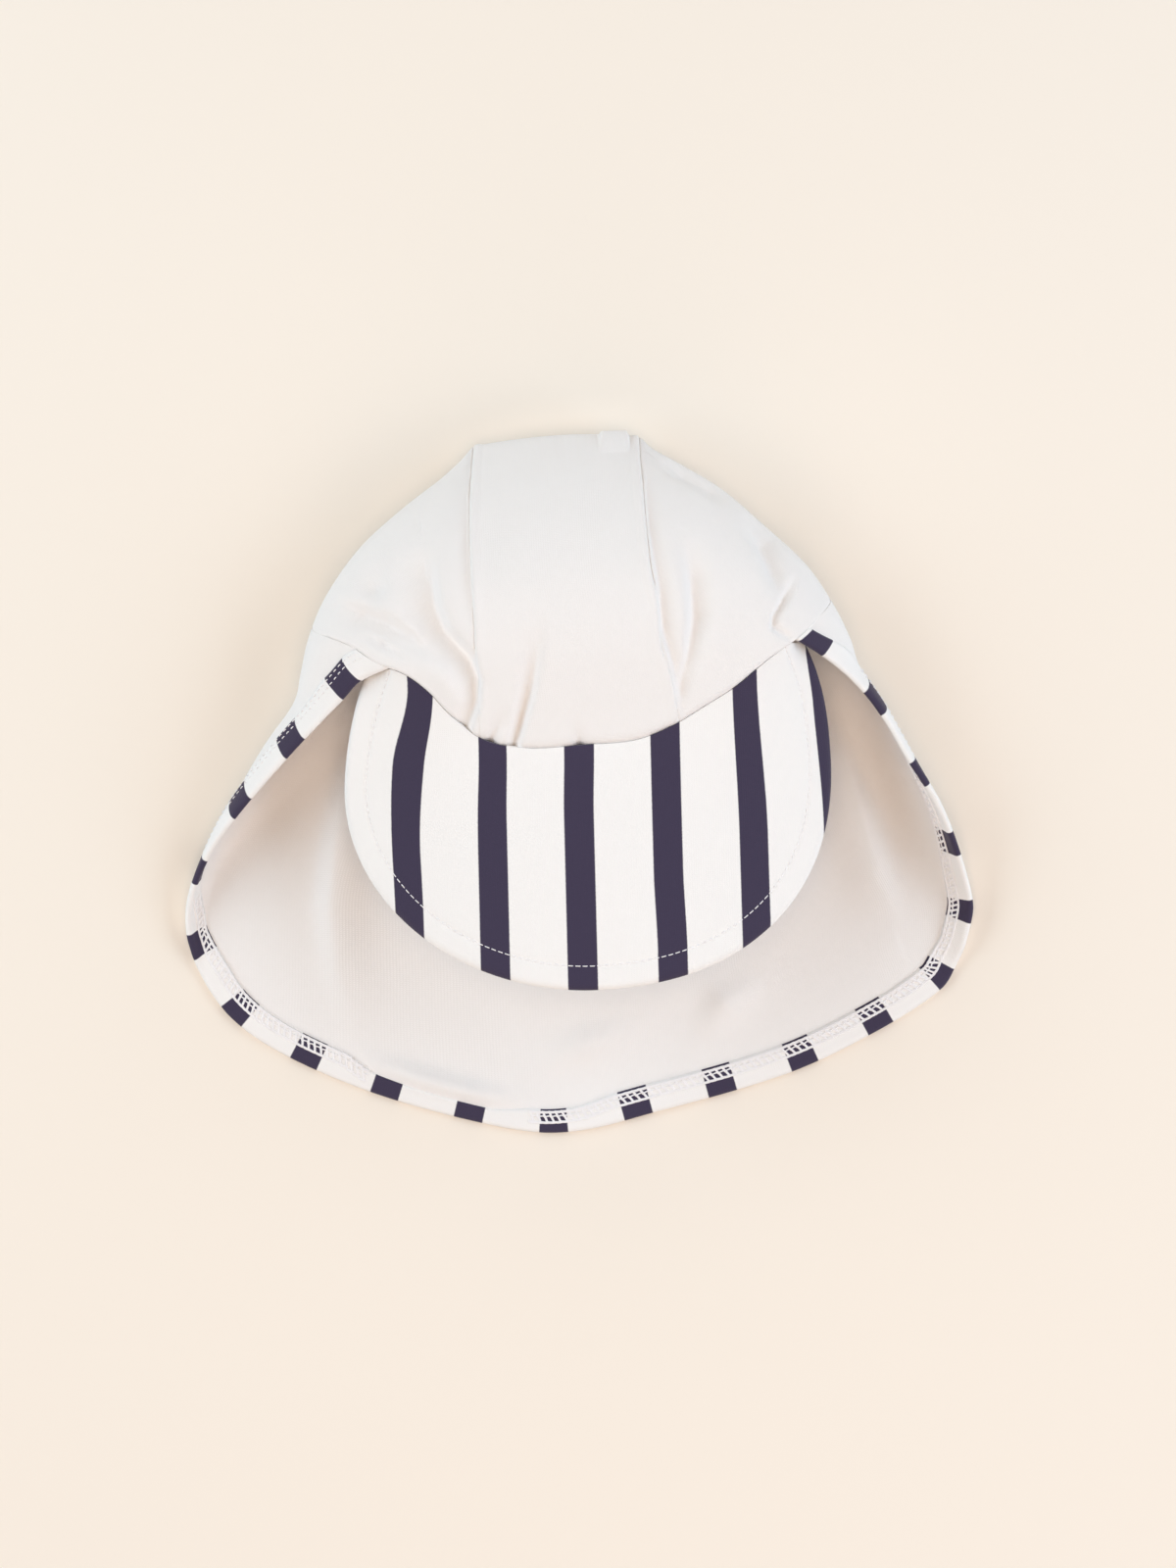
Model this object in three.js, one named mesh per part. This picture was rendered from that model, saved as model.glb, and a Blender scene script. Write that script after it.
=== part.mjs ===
// Beach hat for a small child, with a peak in front and a flap over the neck, lying on its back.
// Millimetres, +Z up, the floor at z = 0. The crown points to +Y, the mouth and the peak to -Y.
import * as THREE from 'three';

// Cloth thicknesses and the clearance left where two pieces are sewn together
const CROWN_WALL = 1.5;
const FLAP_WALL = 1.2;
const BINDING_WALL = 1.0;
const SEAM_GAP = 0.3;
const RIM_GAP = 0.6;

// Middle of the hat's box in the frame that the tables below are written in
const ORIGIN = new THREE.Vector3(-7.5, 0.4, 0);

// Sections of the lying body across Y, from below the flap's bottom edge to the folded top of the crown.
// left, right: how far each side reaches from the middle line; rollLeft, rollRight: height of the widest
// place, where the cloth that leaves the floor stands upright; top, base: highest and lowest place;
// hemLeft, hemRight: height of the flap's edge; seamLeft, seamRight: the two crown seams.
const BODY = table(
  [
    'y', 'left', 'right', 'rollLeft', 'rollRight', 'top', 'base',
    'hemLeft', 'hemRight', 'seamLeft', 'seamRight',
  ],
  [
    [-150, 172, 152, 10, 25, 44, 0, 2, 2, 38, 35],
    [-95, 169, 150, 10, 25, 44, 0, 2, 2.5, 38, 35],
    [-75, 167, 148.5, 9.5, 25, 45, 0, 2.2, 4.5, 38, 35],
    [-58, 167, 152.8, 9, 25, 46, 0, 4, 8, 38, 35],
    [-40, 166.3, 149, 9, 25, 47, 0, 9, 12.5, 38, 35],
    [-20, 158.5, 141.8, 10.5, 25, 48.5, 0, 16.5, 18, 38, 35],
    [0, 146.5, 132, 14, 25, 51, 0, 26, 25, 38, 35],
    [24, 129, 120.5, 18.5, 25, 55.5, 0, 36.5, 32, 38.5, 35],
    [40, 115.5, 111.5, 23, 25, 59, 0, 45, 39, 39, 34.5],
    [52, 111.5, 108, 25, 25, 61, 0, 50, 46, 39.5, 34],
    [66, 107.3, 102, 25, 25, 61.5, 0, 50, 46, 39.8, 33],
    [82, 99.3, 92.4, 24.5, 24.5, 59.5, 0, 50, 46, 39, 31],
    [100, 85, 75.8, 23, 23, 53, 0, 50, 46, 38, 29.6],
    [115, 67, 61, 20, 20, 44, 0, 50, 46, 37.5, 29.4],
    [126, 51.5, 46.3, 17, 17, 34.5, 1, 50, 46, 37.2, 29.4],
    [133.5, 42.6, 35.4, 15, 15, 26, 4, 50, 46, 37, 29.6],
    [137.3, 38.6, 31.6, 14, 14, 20, 8, 50, 46, 37, 29.8],
    [138.6, 37.2, 30, 13.5, 13.5, 13.5, 13.5, 50, 46, 37, 29.8],
  ],
);
const LAST_STATION = BODY.length - 1;
const END_BOW = 2.6;
const END_TILT = 0.01;

// The crown's lower rim: its place along Y for each turn round the head,
// 0 at the middle of the forehead, 90 at the widest place and 180 at the nape
const RIM = table(
  ['turn', 'left', 'right'],
  [
    [0, 15.2, 15.2],
    [9, 15.2, 15.7],
    [17, 19.4, 21],
    [24, 29, 27.5],
    [31, 39.5, 33.5],
    [38, 47.5, 40.2],
    [45, 52, 46.3],
    [54, 59.5, 52.5],
    [66, 64.5, 60],
    [78, 67.5, 64.8],
    [90, 69.3, 67],
    [104, 67.5, 65.5],
    [120, 58, 57],
    [140, 40, 40],
    [160, 27, 27],
    [180, 22, 22],
  ],
);
const FLAP_CORNER = { left: 42, right: 52 };

// Folds and dents in the crown's front: from one place to another, with half width and depth
const CROWN_FOLDS = table(
  ['x', 'y', 'toX', 'toY', 'width', 'depth'],
  [
    [-57, 86, -52, 63, 7, 2],
    [-52, 63, -44, 54, 7, 3],
    [-44, 54, -41, 30, 6, 3],
    [-84, 62, -70, 55, 5, 1.5],
    [73, 100, 78, 76, 9, 1.6],
    [80, 70, 84, 58, 6, 1.8],
    [-24, 30, -20, 14, 4, 1.2],
    [36, 128, 64, 110, 8, 1.4],
  ],
);

// The flap's bottom edge on the floor between its two rounded lower corners
const FLAP_BOTTOM = table(
  ['x', 'y'],
  [
    [-151, -85.5],
    [-110, -112.5],
    [-60, -131.8],
    [-22, -140.3],
    [20, -134],
    [72, -122.5],
    [108, -108.6],
    [138, -89.5],
  ],
);
const FLAP_SIDE_STEPS = [36, 18, 0, -20, -38, -54];
const FLAP_STATIONS = 76;
const FLAP_ROWS = 7;
const FLAP_LIFT = BINDING_WALL + SEAM_GAP;
const FLAP_LIFT_RUN = 16;
const LAYOUT_FOOT = 125;

// Striped strip folded over the flap's free edge
const BINDING_WIDTH = 12;
const BINDING_ROUND = 1.2;
const BINDING_STEPS = [6.8, BINDING_WIDTH];
const BINDING_END = 14;
const BINDING_END_RUN = 26;
const FLAP_EDGE = BINDING_WALL + 2 * SEAM_GAP;
const BINDING_THICKNESS = 2 * BINDING_WALL + 2 * SEAM_GAP + FLAP_WALL;

// Padded peak: an oval whose upper corners are fuller on the right
const PEAK = {
  middleX: 0.1,
  middleY: 8.7,
  halfWidth: 96.2,
  depth: 88.5,
  thickness: 4,
  edgeRound: 3,
  sunk: 0.6,
  corner: { left: 46, right: 47 },
  fullness: { left: 2, right: 2.6 },
  rootTurn: { left: 38.5, right: 49 },
  rootHeight: 55,
  tipHeight: 62,
  sideDrop: 0.0019,
  columns: 28,
  rows: [0, 0.12, 0.26, 0.42, 0.6, 0.78, 0.92],
};

const CROWN_ROWS = 14;
const CROWN_COLUMNS = { centre: 10, side: 24 };
const FRONT_CROWDING = 1.3;

const WHITE_JERSEY = new THREE.MeshStandardMaterial({ color: 0xf0edec, roughness: 0.85, metalness: 0 });
const STRIPED_JERSEY = new THREE.MeshStandardMaterial({ color: 0xf4f2ef, roughness: 0.8, metalness: 0 });
const STRIPED_BINDING = new THREE.MeshStandardMaterial({ color: 0x463e56, roughness: 0.8, metalness: 0 });

function table(columns, rows) {
  return rows.map((row, station) => {
    const cells = columns.map((name, i) => [name, row[i]]);
    return { station, ...Object.fromEntries(cells) };
  });
}

// Smooth curve through one column of a table, against another column
function smooth(rows, key, column, at) {
  let i = 0;
  while (i < rows.length - 2 && rows[i + 1][key] < at) {
    i += 1;
  }
  const slope = (k) => {
    const before = rows[Math.max(k - 1, 0)];
    const after = rows[Math.min(k + 1, rows.length - 1)];
    return (after[column] - before[column]) / (after[key] - before[key]);
  };
  const span = rows[i + 1][key] - rows[i][key];
  const t = THREE.MathUtils.clamp((at - rows[i][key]) / span, 0, 1);
  const rise = t * t * (3 - 2 * t);
  const leave = t * (1 - t) * (1 - t) * span * slope(i);
  const arrive = t * t * (t - 1) * span * slope(i + 1);
  return rows[i][column] * (1 - rise) + rows[i + 1][column] * rise + leave + arrive;
}

// Where a rising rule reaches a value
function reached(rule, value, low, high) {
  let [below, above] = [low, high];
  for (let i = 0; i < 40; i++) {
    const middle = (below + above) / 2;
    if (rule(middle) < value) {
      below = middle;
    } else {
      above = middle;
    }
  }
  return (below + above) / 2;
}

function stationOf(y) {
  return reached((station) => smooth(BODY, 'station', 'y', station), y, 0, LAST_STATION);
}

// One side of a section: flat on the floor as far as foot, then rolled up to the widest place,
// then a quarter of an ellipse to the top
function halfSection(side, station) {
  const at = (column) => smooth(BODY, 'station', column, station);
  const base = Math.max(at('base'), 0);
  const radius = Math.max(at(`roll${side}`) - base, 0.01);
  const hem = at(`hem${side}`);
  const lean = hem < radius ? Math.acos(1 - hem / radius) : Math.PI / 2;
  const foot = at(side.toLowerCase()) - radius * Math.sin(lean);
  return {
    y: at('y'),
    base,
    radius,
    foot,
    reach: foot + radius,
    lower: foot + (radius * Math.PI) / 2,
    rise: Math.max(at('top') - base - radius, 0.01),
    hem: hem - base,
    seam: at(`seam${side}`),
  };
}

// Point of a half section at a distance along it from the back's middle line
function alongSection(section, distance) {
  const { base, radius, foot, reach, lower, rise } = section;
  if (distance <= foot) {
    return { x: distance, z: base };
  }
  if (distance <= lower) {
    const angle = (distance - foot) / radius;
    return { x: foot + radius * Math.sin(angle), z: base + radius * (1 - Math.cos(angle)) };
  }
  const angle = (distance - lower) / rise;
  return { x: reach * Math.cos(angle), z: base + radius + rise * Math.sin(angle) };
}

function distanceAtTurn(section, turn) {
  if (turn >= 90) {
    return (section.lower * (180 - turn)) / 90;
  }
  return section.lower + section.rise * THREE.MathUtils.degToRad(90 - turn);
}

function turnAtX(section, x) {
  return THREE.MathUtils.radToDeg(Math.asin(Math.min(x / section.reach, 1)));
}

function hemDistance(section) {
  const { radius, foot, lower, rise, hem } = section;
  if (hem < radius) {
    return foot + radius * Math.acos(1 - hem / radius);
  }
  return lower + rise * Math.asin(Math.min((hem - radius) / rise, 1));
}

// Sum of the folds at a place on the crown's front
function foldDepth(x, y) {
  let depth = 0;
  for (const fold of CROWN_FOLDS) {
    const start = new THREE.Vector2(fold.x, fold.y);
    const run = new THREE.Vector2(fold.toX, fold.toY).sub(start);
    const place = new THREE.Vector2(x, y).sub(start);
    const along = THREE.MathUtils.clamp(place.dot(run) / run.lengthSq(), 0, 1);
    const away = place.addScaledVector(run, -along).length() / fold.width;
    depth = Math.max(depth, fold.depth * Math.exp(-away * away));
  }
  return depth;
}

// Point of the body: side 'Left' or 'Right', station, and distance along the half section
function bodyPoint(side, station, distance) {
  const section = halfSection(side, station);
  const { x, z } = alongSection(section, distance);
  const signed = side === 'Left' ? -x : x;
  const towardEnd = THREE.MathUtils.smoothstep(station, LAST_STATION - 6, LAST_STATION);
  const inward = Math.max(1 - (x / section.seam) ** 2, -0.3);
  const y = section.y + towardEnd * (END_BOW * inward - END_TILT * signed);
  const front = THREE.MathUtils.smoothstep(z - section.base - section.radius, 0, 8);
  return new THREE.Vector3(signed, y, z - front * foldDepth(signed, y));
}

// Outward normal of the body, from two short steps on its surface
function bodyNormal(side, station, distance) {
  const step = 0.02;
  const before = Math.min(station, LAST_STATION - 0.1) - step;
  const here = halfSection(side, before + step);
  const far = Math.max(Math.min(distance, here.lower + here.rise * 1.5), step);
  const along = bodyPoint(side, before + step, far + step).sub(bodyPoint(side, before + step, far - step));
  const across = bodyPoint(side, before + 2 * step, far).sub(bodyPoint(side, before, far));
  const normal = along.cross(across).normalize();
  return side === 'Left' ? normal : normal.negate();
}

function rimY(side, turn) {
  return smooth(RIM, 'turn', side.toLowerCase(), turn);
}

// The rim at a turn: its station and its distance along the half section
function rimPlace(side, turn) {
  const station = stationOf(rimY(side, turn));
  return { side, station, distance: distanceAtTurn(halfSection(side, station), turn) };
}

function placePoint({ side, station, distance }) {
  return bodyPoint(side, station, distance);
}

function placeNormal({ side, station, distance }) {
  return bodyNormal(side, station, distance);
}

// Grid of places on the body as points, some way in from its outside
function skin(places, depth) {
  const sunk = (place) => placePoint(place).addScaledVector(placeNormal(place), -depth);
  return places.map((row) => row.map(sunk));
}

// Closed solid between two grids of points: the two skins and the four edges between them
function wallGeometry(outer, inner) {
  const corners = [];
  const numbers = new Map();
  const triangles = [];
  const number = (point) => {
    const key = point.toArray().map((value) => value.toFixed(4)).join();
    if (!numbers.has(key)) {
      numbers.set(key, numbers.size);
      corners.push(...point.toArray());
    }
    return numbers.get(key);
  };
  const triangle = (a, b, c) => {
    if (a !== b && b !== c && c !== a) {
      triangles.push(a, b, c);
    }
  };
  const quad = (a, b, c, d) => {
    const [p, q, r, s] = [a, b, c, d].map(number);
    triangle(p, q, r);
    triangle(p, r, s);
  };
  const rows = outer.length - 1;
  const columns = outer[0].length - 1;
  for (let i = 0; i < rows; i++) {
    for (let j = 0; j < columns; j++) {
      quad(outer[i][j], outer[i][j + 1], outer[i + 1][j + 1], outer[i + 1][j]);
      quad(inner[i][j], inner[i + 1][j], inner[i + 1][j + 1], inner[i][j + 1]);
    }
  }
  for (let i = 0; i < rows; i++) {
    quad(outer[i][0], outer[i + 1][0], inner[i + 1][0], inner[i][0]);
    quad(outer[i + 1][columns], outer[i][columns], inner[i][columns], inner[i + 1][columns]);
  }
  for (let j = 0; j < columns; j++) {
    quad(outer[0][j + 1], outer[0][j], inner[0][j], inner[0][j + 1]);
    quad(outer[rows][j], outer[rows][j + 1], inner[rows][j + 1], inner[rows][j]);
  }
  return solidGeometry(corners, triangles);
}

// Triangles as a geometry whose faces point out, whichever way round they were listed
function solidGeometry(corners, triangles) {
  const corner = (k) => new THREE.Vector3().fromArray(corners, 3 * k);
  let volume = 0;
  for (let k = 0; k < triangles.length; k += 3) {
    const [a, b, c] = [corner(triangles[k]), corner(triangles[k + 1]), corner(triangles[k + 2])];
    volume += a.dot(b.cross(c)) / 6;
  }
  const geometry = new THREE.BufferGeometry();
  geometry.setAttribute('position', new THREE.Float32BufferAttribute(corners, 3));
  geometry.setIndex(volume < 0 ? triangles.toReversed() : triangles);
  geometry.translate(-ORIGIN.x, -ORIGIN.y, -ORIGIN.z);
  geometry.computeVertexNormals();
  return geometry;
}

// Station of a crown place part way from the rim to the folded top
function fromRim(rimStation, part) {
  return THREE.MathUtils.lerp(rimStation, LAST_STATION, part);
}

// Place on the front or back of the centre panel, across from -1 at the left seam to 1 at the right one
function centrePlace(across, part, back) {
  const side = across < 0 ? 'Left' : 'Right';
  const place = { side, station: LAST_STATION - 4, distance: 0 };
  const settle = (station) => {
    const section = halfSection(side, station);
    const x = Math.abs(across) * (section.seam - SEAM_GAP / 2);
    place.turn = back ? 180 - (90 * x) / section.lower : turnAtX(section, x);
    place.distance = back ? x : distanceAtTurn(section, place.turn);
    place.station = station;
  };
  for (let i = 0; i < 6; i++) {
    settle(stationOf(rimY(side, place.turn ?? (back ? 180 : 0))));
  }
  settle(fromRim(place.station, part));
  return place;
}

// Centre panel: one strip from the forehead over the top of the crown to the nape
function crownCentre() {
  const columns = CROWN_COLUMNS.centre;
  const rows = [];
  for (let i = 0; i <= 2 * CROWN_ROWS; i++) {
    const onBack = i > CROWN_ROWS;
    const part = (onBack ? 2 * CROWN_ROWS - i : i) / CROWN_ROWS;
    const row = [];
    for (let j = 0; j <= columns; j++) {
      row.push(centrePlace((2 * j) / columns - 1, part, onBack));
    }
    rows.push(row);
  }
  return wallGeometry(skin(rows, 0), skin(rows, CROWN_WALL));
}

// Place on a side panel, across from 0 at the front seam round the head to 1 at the back seam
function sidePlace(side, across, part) {
  const place = { side, station: LAST_STATION - 8, distance: 0 };
  const settle = (station) => {
    const section = halfSection(side, station);
    const seam = Math.min(section.seam + SEAM_GAP / 2, section.reach);
    const frontTurn = turnAtX(section, seam);
    const backTurn = 180 - (90 * Math.min(seam, section.lower)) / section.lower;
    place.turn = THREE.MathUtils.lerp(frontTurn, backTurn, across);
    place.distance = distanceAtTurn(section, place.turn);
    place.station = station;
  };
  settle(place.station);
  for (let i = 0; i < 8; i++) {
    settle(stationOf(rimY(side, place.turn)));
  }
  settle(fromRim(place.station, part));
  return place;
}

// Side panel: from one crown seam round the head, closed to a point at the folded top
function crownSide(side) {
  const rows = [];
  for (let i = 0; i <= CROWN_ROWS; i++) {
    const row = [];
    for (let j = 0; j <= CROWN_COLUMNS.side; j++) {
      const across = i < CROWN_ROWS ? (j / CROWN_COLUMNS.side) ** FRONT_CROWDING : 0;
      row.push(sidePlace(side, across, i / CROWN_ROWS));
    }
    rows.push(row);
  }
  return wallGeometry(skin(rows, 0), skin(rows, CROWN_WALL));
}

// The flap is laid out flat first: x runs round a section, to the left if negative, and y is the section's
// place. Every section leaves the floor at LAYOUT_FOOT, so that the layout follows the body's flare.
function layoutDistance(section, x) {
  return x + (section.foot - LAYOUT_FOOT) * THREE.MathUtils.smoothstep(x, 0, LAYOUT_FOOT);
}

function layoutPoint(side, y, distance) {
  const section = halfSection(side, stationOf(y));
  const x = reached((place) => layoutDistance(section, place), distance, 0, 3 * LAYOUT_FOOT);
  return new THREE.Vector3(side === 'Left' ? -x : x, y, 0);
}

// Puts a flat place back on the body, some way in from its outside
function spread(flat, depth) {
  const side = flat.x < 0 ? 'Left' : 'Right';
  const station = stationOf(flat.y);
  const place = { side, station, distance: layoutDistance(halfSection(side, station), Math.abs(flat.x)) };
  return placePoint(place).addScaledVector(placeNormal(place), -depth);
}

// The rim laid out flat from the left corner round the nape to the right corner, just clear of the crown
function flatRim() {
  const points = [];
  const add = (side, turn) => {
    const y = rimY(side, turn) - RIM_GAP;
    points.push(layoutPoint(side, y, distanceAtTurn(halfSection(side, stationOf(y)), turn)));
  };
  for (let turn = FLAP_CORNER.left; turn < 180; turn += 6) {
    add('Left', turn);
  }
  for (let turn = 180; turn > FLAP_CORNER.right; turn -= 6) {
    add('Right', turn);
  }
  add('Right', FLAP_CORNER.right);
  return new THREE.CatmullRomCurve3(points);
}

// The free edge laid out flat: down the left side, along the bottom, up the right side
function flatHem(rim) {
  const sidePoint = (side, y) => layoutPoint(side, y, hemDistance(halfSection(side, stationOf(y))));
  const points = [
    rim.getPointAt(0),
    ...FLAP_SIDE_STEPS.map((y) => sidePoint('Left', y)),
    ...FLAP_BOTTOM.map(({ x, y }) => layoutPoint(x < 0 ? 'Left' : 'Right', y, Math.abs(x))),
    ...FLAP_SIDE_STEPS.toReversed().map((y) => sidePoint('Right', y)),
    rim.getPointAt(1),
  ];
  return new THREE.CatmullRomCurve3(points, false, 'centripetal');
}

// Flat step from the free edge straight into the cloth, one millimetre long on the body
function stepInward(hem, at) {
  const flat = hem.getPointAt(at);
  const step = 0.5;
  const here = spread(flat, 0);
  const alongX = spread(flat.clone().add(new THREE.Vector3(Math.sign(-flat.x) * step, 0, 0)), 0).sub(here);
  const alongY = spread(flat.clone().add(new THREE.Vector3(0, step, 0)), 0).sub(here);
  alongX.multiplyScalar(Math.sign(-flat.x) / step);
  alongY.divideScalar(step);
  const run = hem.getTangentAt(at);
  const tangent = alongX.clone().multiplyScalar(run.x).addScaledVector(alongY, run.y).normalize();
  const towardX = -alongY.dot(tangent);
  const towardY = alongX.dot(tangent);
  const length = alongX.clone().multiplyScalar(towardX).addScaledVector(alongY, towardY).length();
  const turned = run.x * towardY < run.y * towardX;
  return new THREE.Vector3(towardX, towardY, 0).divideScalar(turned ? -length : length);
}

// Lines across the flap's edge at even stations along it: a function from the way in to a flat place.
// The first and last ones follow the crown's rim, where the strip is caught in the seam.
function edgeLines(rim, hem) {
  const rimLength = rim.getLength();
  const hemLength = hem.getLength();
  const lines = [];
  for (let i = 0; i <= FLAP_STATIONS; i++) {
    const at = i / FLAP_STATIONS;
    const start = hem.getPointAt(at);
    const inward = stepInward(hem, at);
    const fromEnd = Math.min(at, 1 - at) * hemLength;
    const square = THREE.MathUtils.smoothstep(fromEnd, 0, BINDING_END_RUN);
    lines.push((way) => {
      const caught = (BINDING_END * way) / BINDING_WIDTH / rimLength;
      const skewed = at < 0.5
        ? rim.getPointAt(caught).sub(rim.getPointAt(0))
        : rim.getPointAt(1 - caught).sub(rim.getPointAt(1));
      return start.clone().add(skewed.lerp(inward.clone().multiplyScalar(way), square));
    });
  }
  return lines;
}

// Neck flap: from the rim to the free edge, lifted near the edge by the strip that passes under it
function neckFlap(rim, lines) {
  const rimLength = rim.getLength();
  const rows = [];
  lines.forEach((line, i) => {
    const caught = BINDING_END / rimLength;
    const root = rim.getPointAt(THREE.MathUtils.lerp(caught, 1 - caught, i / FLAP_STATIONS));
    const inner = line(BINDING_WIDTH);
    const length = root.distanceTo(inner);
    const row = [];
    for (let j = 0; j < FLAP_ROWS; j++) {
      const part = j / FLAP_ROWS;
      const lift = FLAP_LIFT * THREE.MathUtils.smoothstep((part - 1) * length, -FLAP_LIFT_RUN, 0);
      row.push({ flat: root.clone().lerp(inner, part), lift: Math.max(lift, FLAP_LIFT * part ** 6) });
    }
    for (const way of [...BINDING_STEPS.toReversed(), FLAP_EDGE]) {
      row.push({ flat: line(way), lift: FLAP_LIFT });
    }
    rows.push(row);
  });
  const outer = rows.map((row) => row.map(({ flat, lift }) => spread(flat, lift)));
  const inner = rows.map((row) => row.map(({ flat, lift }) => spread(flat, lift + FLAP_WALL)));
  return wallGeometry(outer, inner);
}

// Outline of the folded strip: way in from the fold, and depth from its outside
function bindingOutline() {
  const middle = BINDING_THICKNESS / 2;
  const inside = [BINDING_WALL, BINDING_THICKNESS - BINDING_WALL];
  const nose = FLAP_EDGE - SEAM_GAP;
  const steps = BINDING_STEPS;
  const outerLeg = [...steps.toReversed(), BINDING_ROUND].map((way) => [way, 0]);
  const round = [[BINDING_ROUND * 0.3, middle * 0.3], [0, middle], [BINDING_ROUND * 0.3, middle * 1.7]];
  const innerLeg = [BINDING_ROUND, ...steps].map((way) => [way, BINDING_THICKNESS]);
  const back = [...steps.toReversed(), nose].map((way) => [way, inside[1]]);
  const forth = [nose, ...steps].map((way) => [way, inside[0]]);
  return [...outerLeg, ...round, ...innerLeg, ...back, ...forth].map(([way, depth]) => ({ way, depth }));
}

// Binding: the folded strip carried along the flap's edge, its quads split the way the flap's are
function flapBinding(lines) {
  const outline = bindingOutline();
  const count = outline.length;
  const corners = [];
  const triangles = [];
  for (const line of lines) {
    for (const { way, depth } of outline) {
      corners.push(...spread(line(way), depth).toArray());
    }
  }
  for (let i = 0; i < FLAP_STATIONS; i++) {
    for (let k = 0; k < count; k++) {
      const next = (k + 1) % count;
      const [a, b] = [i * count + k, i * count + next];
      if (outline[next].way < outline[k].way) {
        triangles.push(a, a + count, b + count, a, b + count, b);
      } else {
        triangles.push(a, a + count, b, a + count, b + count, b);
      }
    }
  }
  const flat = outline.map(({ way, depth }) => new THREE.Vector2(way, depth));
  const turned = THREE.ShapeUtils.isClockWise(flat);
  for (const [a, b, c] of THREE.ShapeUtils.triangulateShape(flat, [])) {
    const end = FLAP_STATIONS * count;
    triangles.push(...(turned ? [a, c, b] : [a, b, c]));
    triangles.push(...(turned ? [end + a, end + b, end + c] : [end + a, end + c, end + b]));
  }
  return solidGeometry(corners, triangles);
}

// Peak's outer edge, by the angle round its oval from the left corner to the right one
function peakEdge(part) {
  const { middleX, middleY, halfWidth, depth, corner, fullness } = PEAK;
  const cornerAngle = (y) => Math.asin((y - middleY) / depth);
  const first = Math.PI - cornerAngle(corner.left);
  const last = 2 * Math.PI + cornerAngle(corner.right);
  const angle = THREE.MathUtils.lerp(first, last, part);
  const [c, s] = [Math.cos(angle), Math.sin(angle)];
  const power = s > 0 ? fullness[c < 0 ? 'left' : 'right'] : 2;
  const wide = Math.sign(c) * (1 - Math.abs(s) ** power) ** (1 / power);
  return new THREE.Vector2(middleX + halfWidth * wide, middleY + depth * s);
}

// Height of the peak's middle skin: arched from side to side, springing up a little towards the tip
function peakHeight(x, y) {
  const { middleX, middleY, depth, rootHeight, tipHeight, sideDrop, thickness } = PEAK;
  const forward = (middleY - y) / depth;
  return rootHeight + (tipHeight - rootHeight) * forward - sideDrop * (x - middleX) ** 2 - thickness / 2;
}

function peak() {
  const { rootTurn, columns, rows, thickness, edgeRound, sunk } = PEAK;
  const top = [];
  const bottom = [];
  for (let i = 0; i <= columns; i++) {
    const part = i / columns;
    const turn = THREE.MathUtils.lerp(-rootTurn.left, rootTurn.right, part);
    const place = rimPlace(turn < 0 ? 'Left' : 'Right', Math.abs(turn));
    const rim = placePoint(place);
    const rimNormal = placeNormal(place);
    const ahead = placePoint({ ...place, station: place.station - 0.05 }).sub(rim).normalize();
    const root = rim.clone().addScaledVector(ahead, RIM_GAP);
    root.addScaledVector(rimNormal, -sunk - thickness / 2);
    const edge = peakEdge(part);
    const reach = Math.hypot(edge.x - root.x, edge.y - root.y);
    const ways = [...rows, 1 - (0.35 * edgeRound) / reach, 1];
    const topRow = [];
    const bottomRow = [];
    for (const way of ways) {
      const x = THREE.MathUtils.lerp(root.x, edge.x, way);
      const y = THREE.MathUtils.lerp(root.y, edge.y, way);
      const settle = (root.z - peakHeight(root.x, root.y)) * (1 - way) ** 2;
      const middle = new THREE.Vector3(x, y, peakHeight(x, y) + settle);
      const fromEdge = Math.min(((1 - way) * reach) / edgeRound, 1);
      const half = (thickness / 2) * Math.max(Math.sqrt(1 - (1 - fromEdge) ** 2), 0.3);
      const upward = new THREE.Vector3(0, 0, 1).lerp(rimNormal, (1 - way) ** 4).normalize();
      topRow.push(middle.clone().addScaledVector(upward, half));
      bottomRow.push(middle.clone().addScaledVector(upward, -half));
    }
    top.push(topRow);
    bottom.push(bottomRow);
  }
  return wallGeometry(top, bottom);
}

function named(name, geometry, material) {
  const mesh = new THREE.Mesh(geometry, material);
  mesh.name = name;
  return mesh;
}

function beachHat() {
  const rim = flatRim();
  const lines = edgeLines(rim, flatHem(rim));
  const hat = new THREE.Group();
  hat.add(named('crown_centre', crownCentre(), WHITE_JERSEY));
  hat.add(named('crown_left', crownSide('Left'), WHITE_JERSEY));
  hat.add(named('crown_right', crownSide('Right'), WHITE_JERSEY));
  hat.add(named('peak', peak(), STRIPED_JERSEY));
  hat.add(named('neck_flap', neckFlap(rim, lines), WHITE_JERSEY));
  hat.add(named('flap_binding', flapBinding(lines), STRIPED_BINDING));
  return hat;
}

export default beachHat();
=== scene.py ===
# Small beach hat, lying on its back: a white crown in three panels, a padded striped peak and a neck flap
# bound with a striped strip. Lengths are in millimetres, x and y counted from the point under the camera;
# metres() puts them in the hat's own frame.
import math

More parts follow.
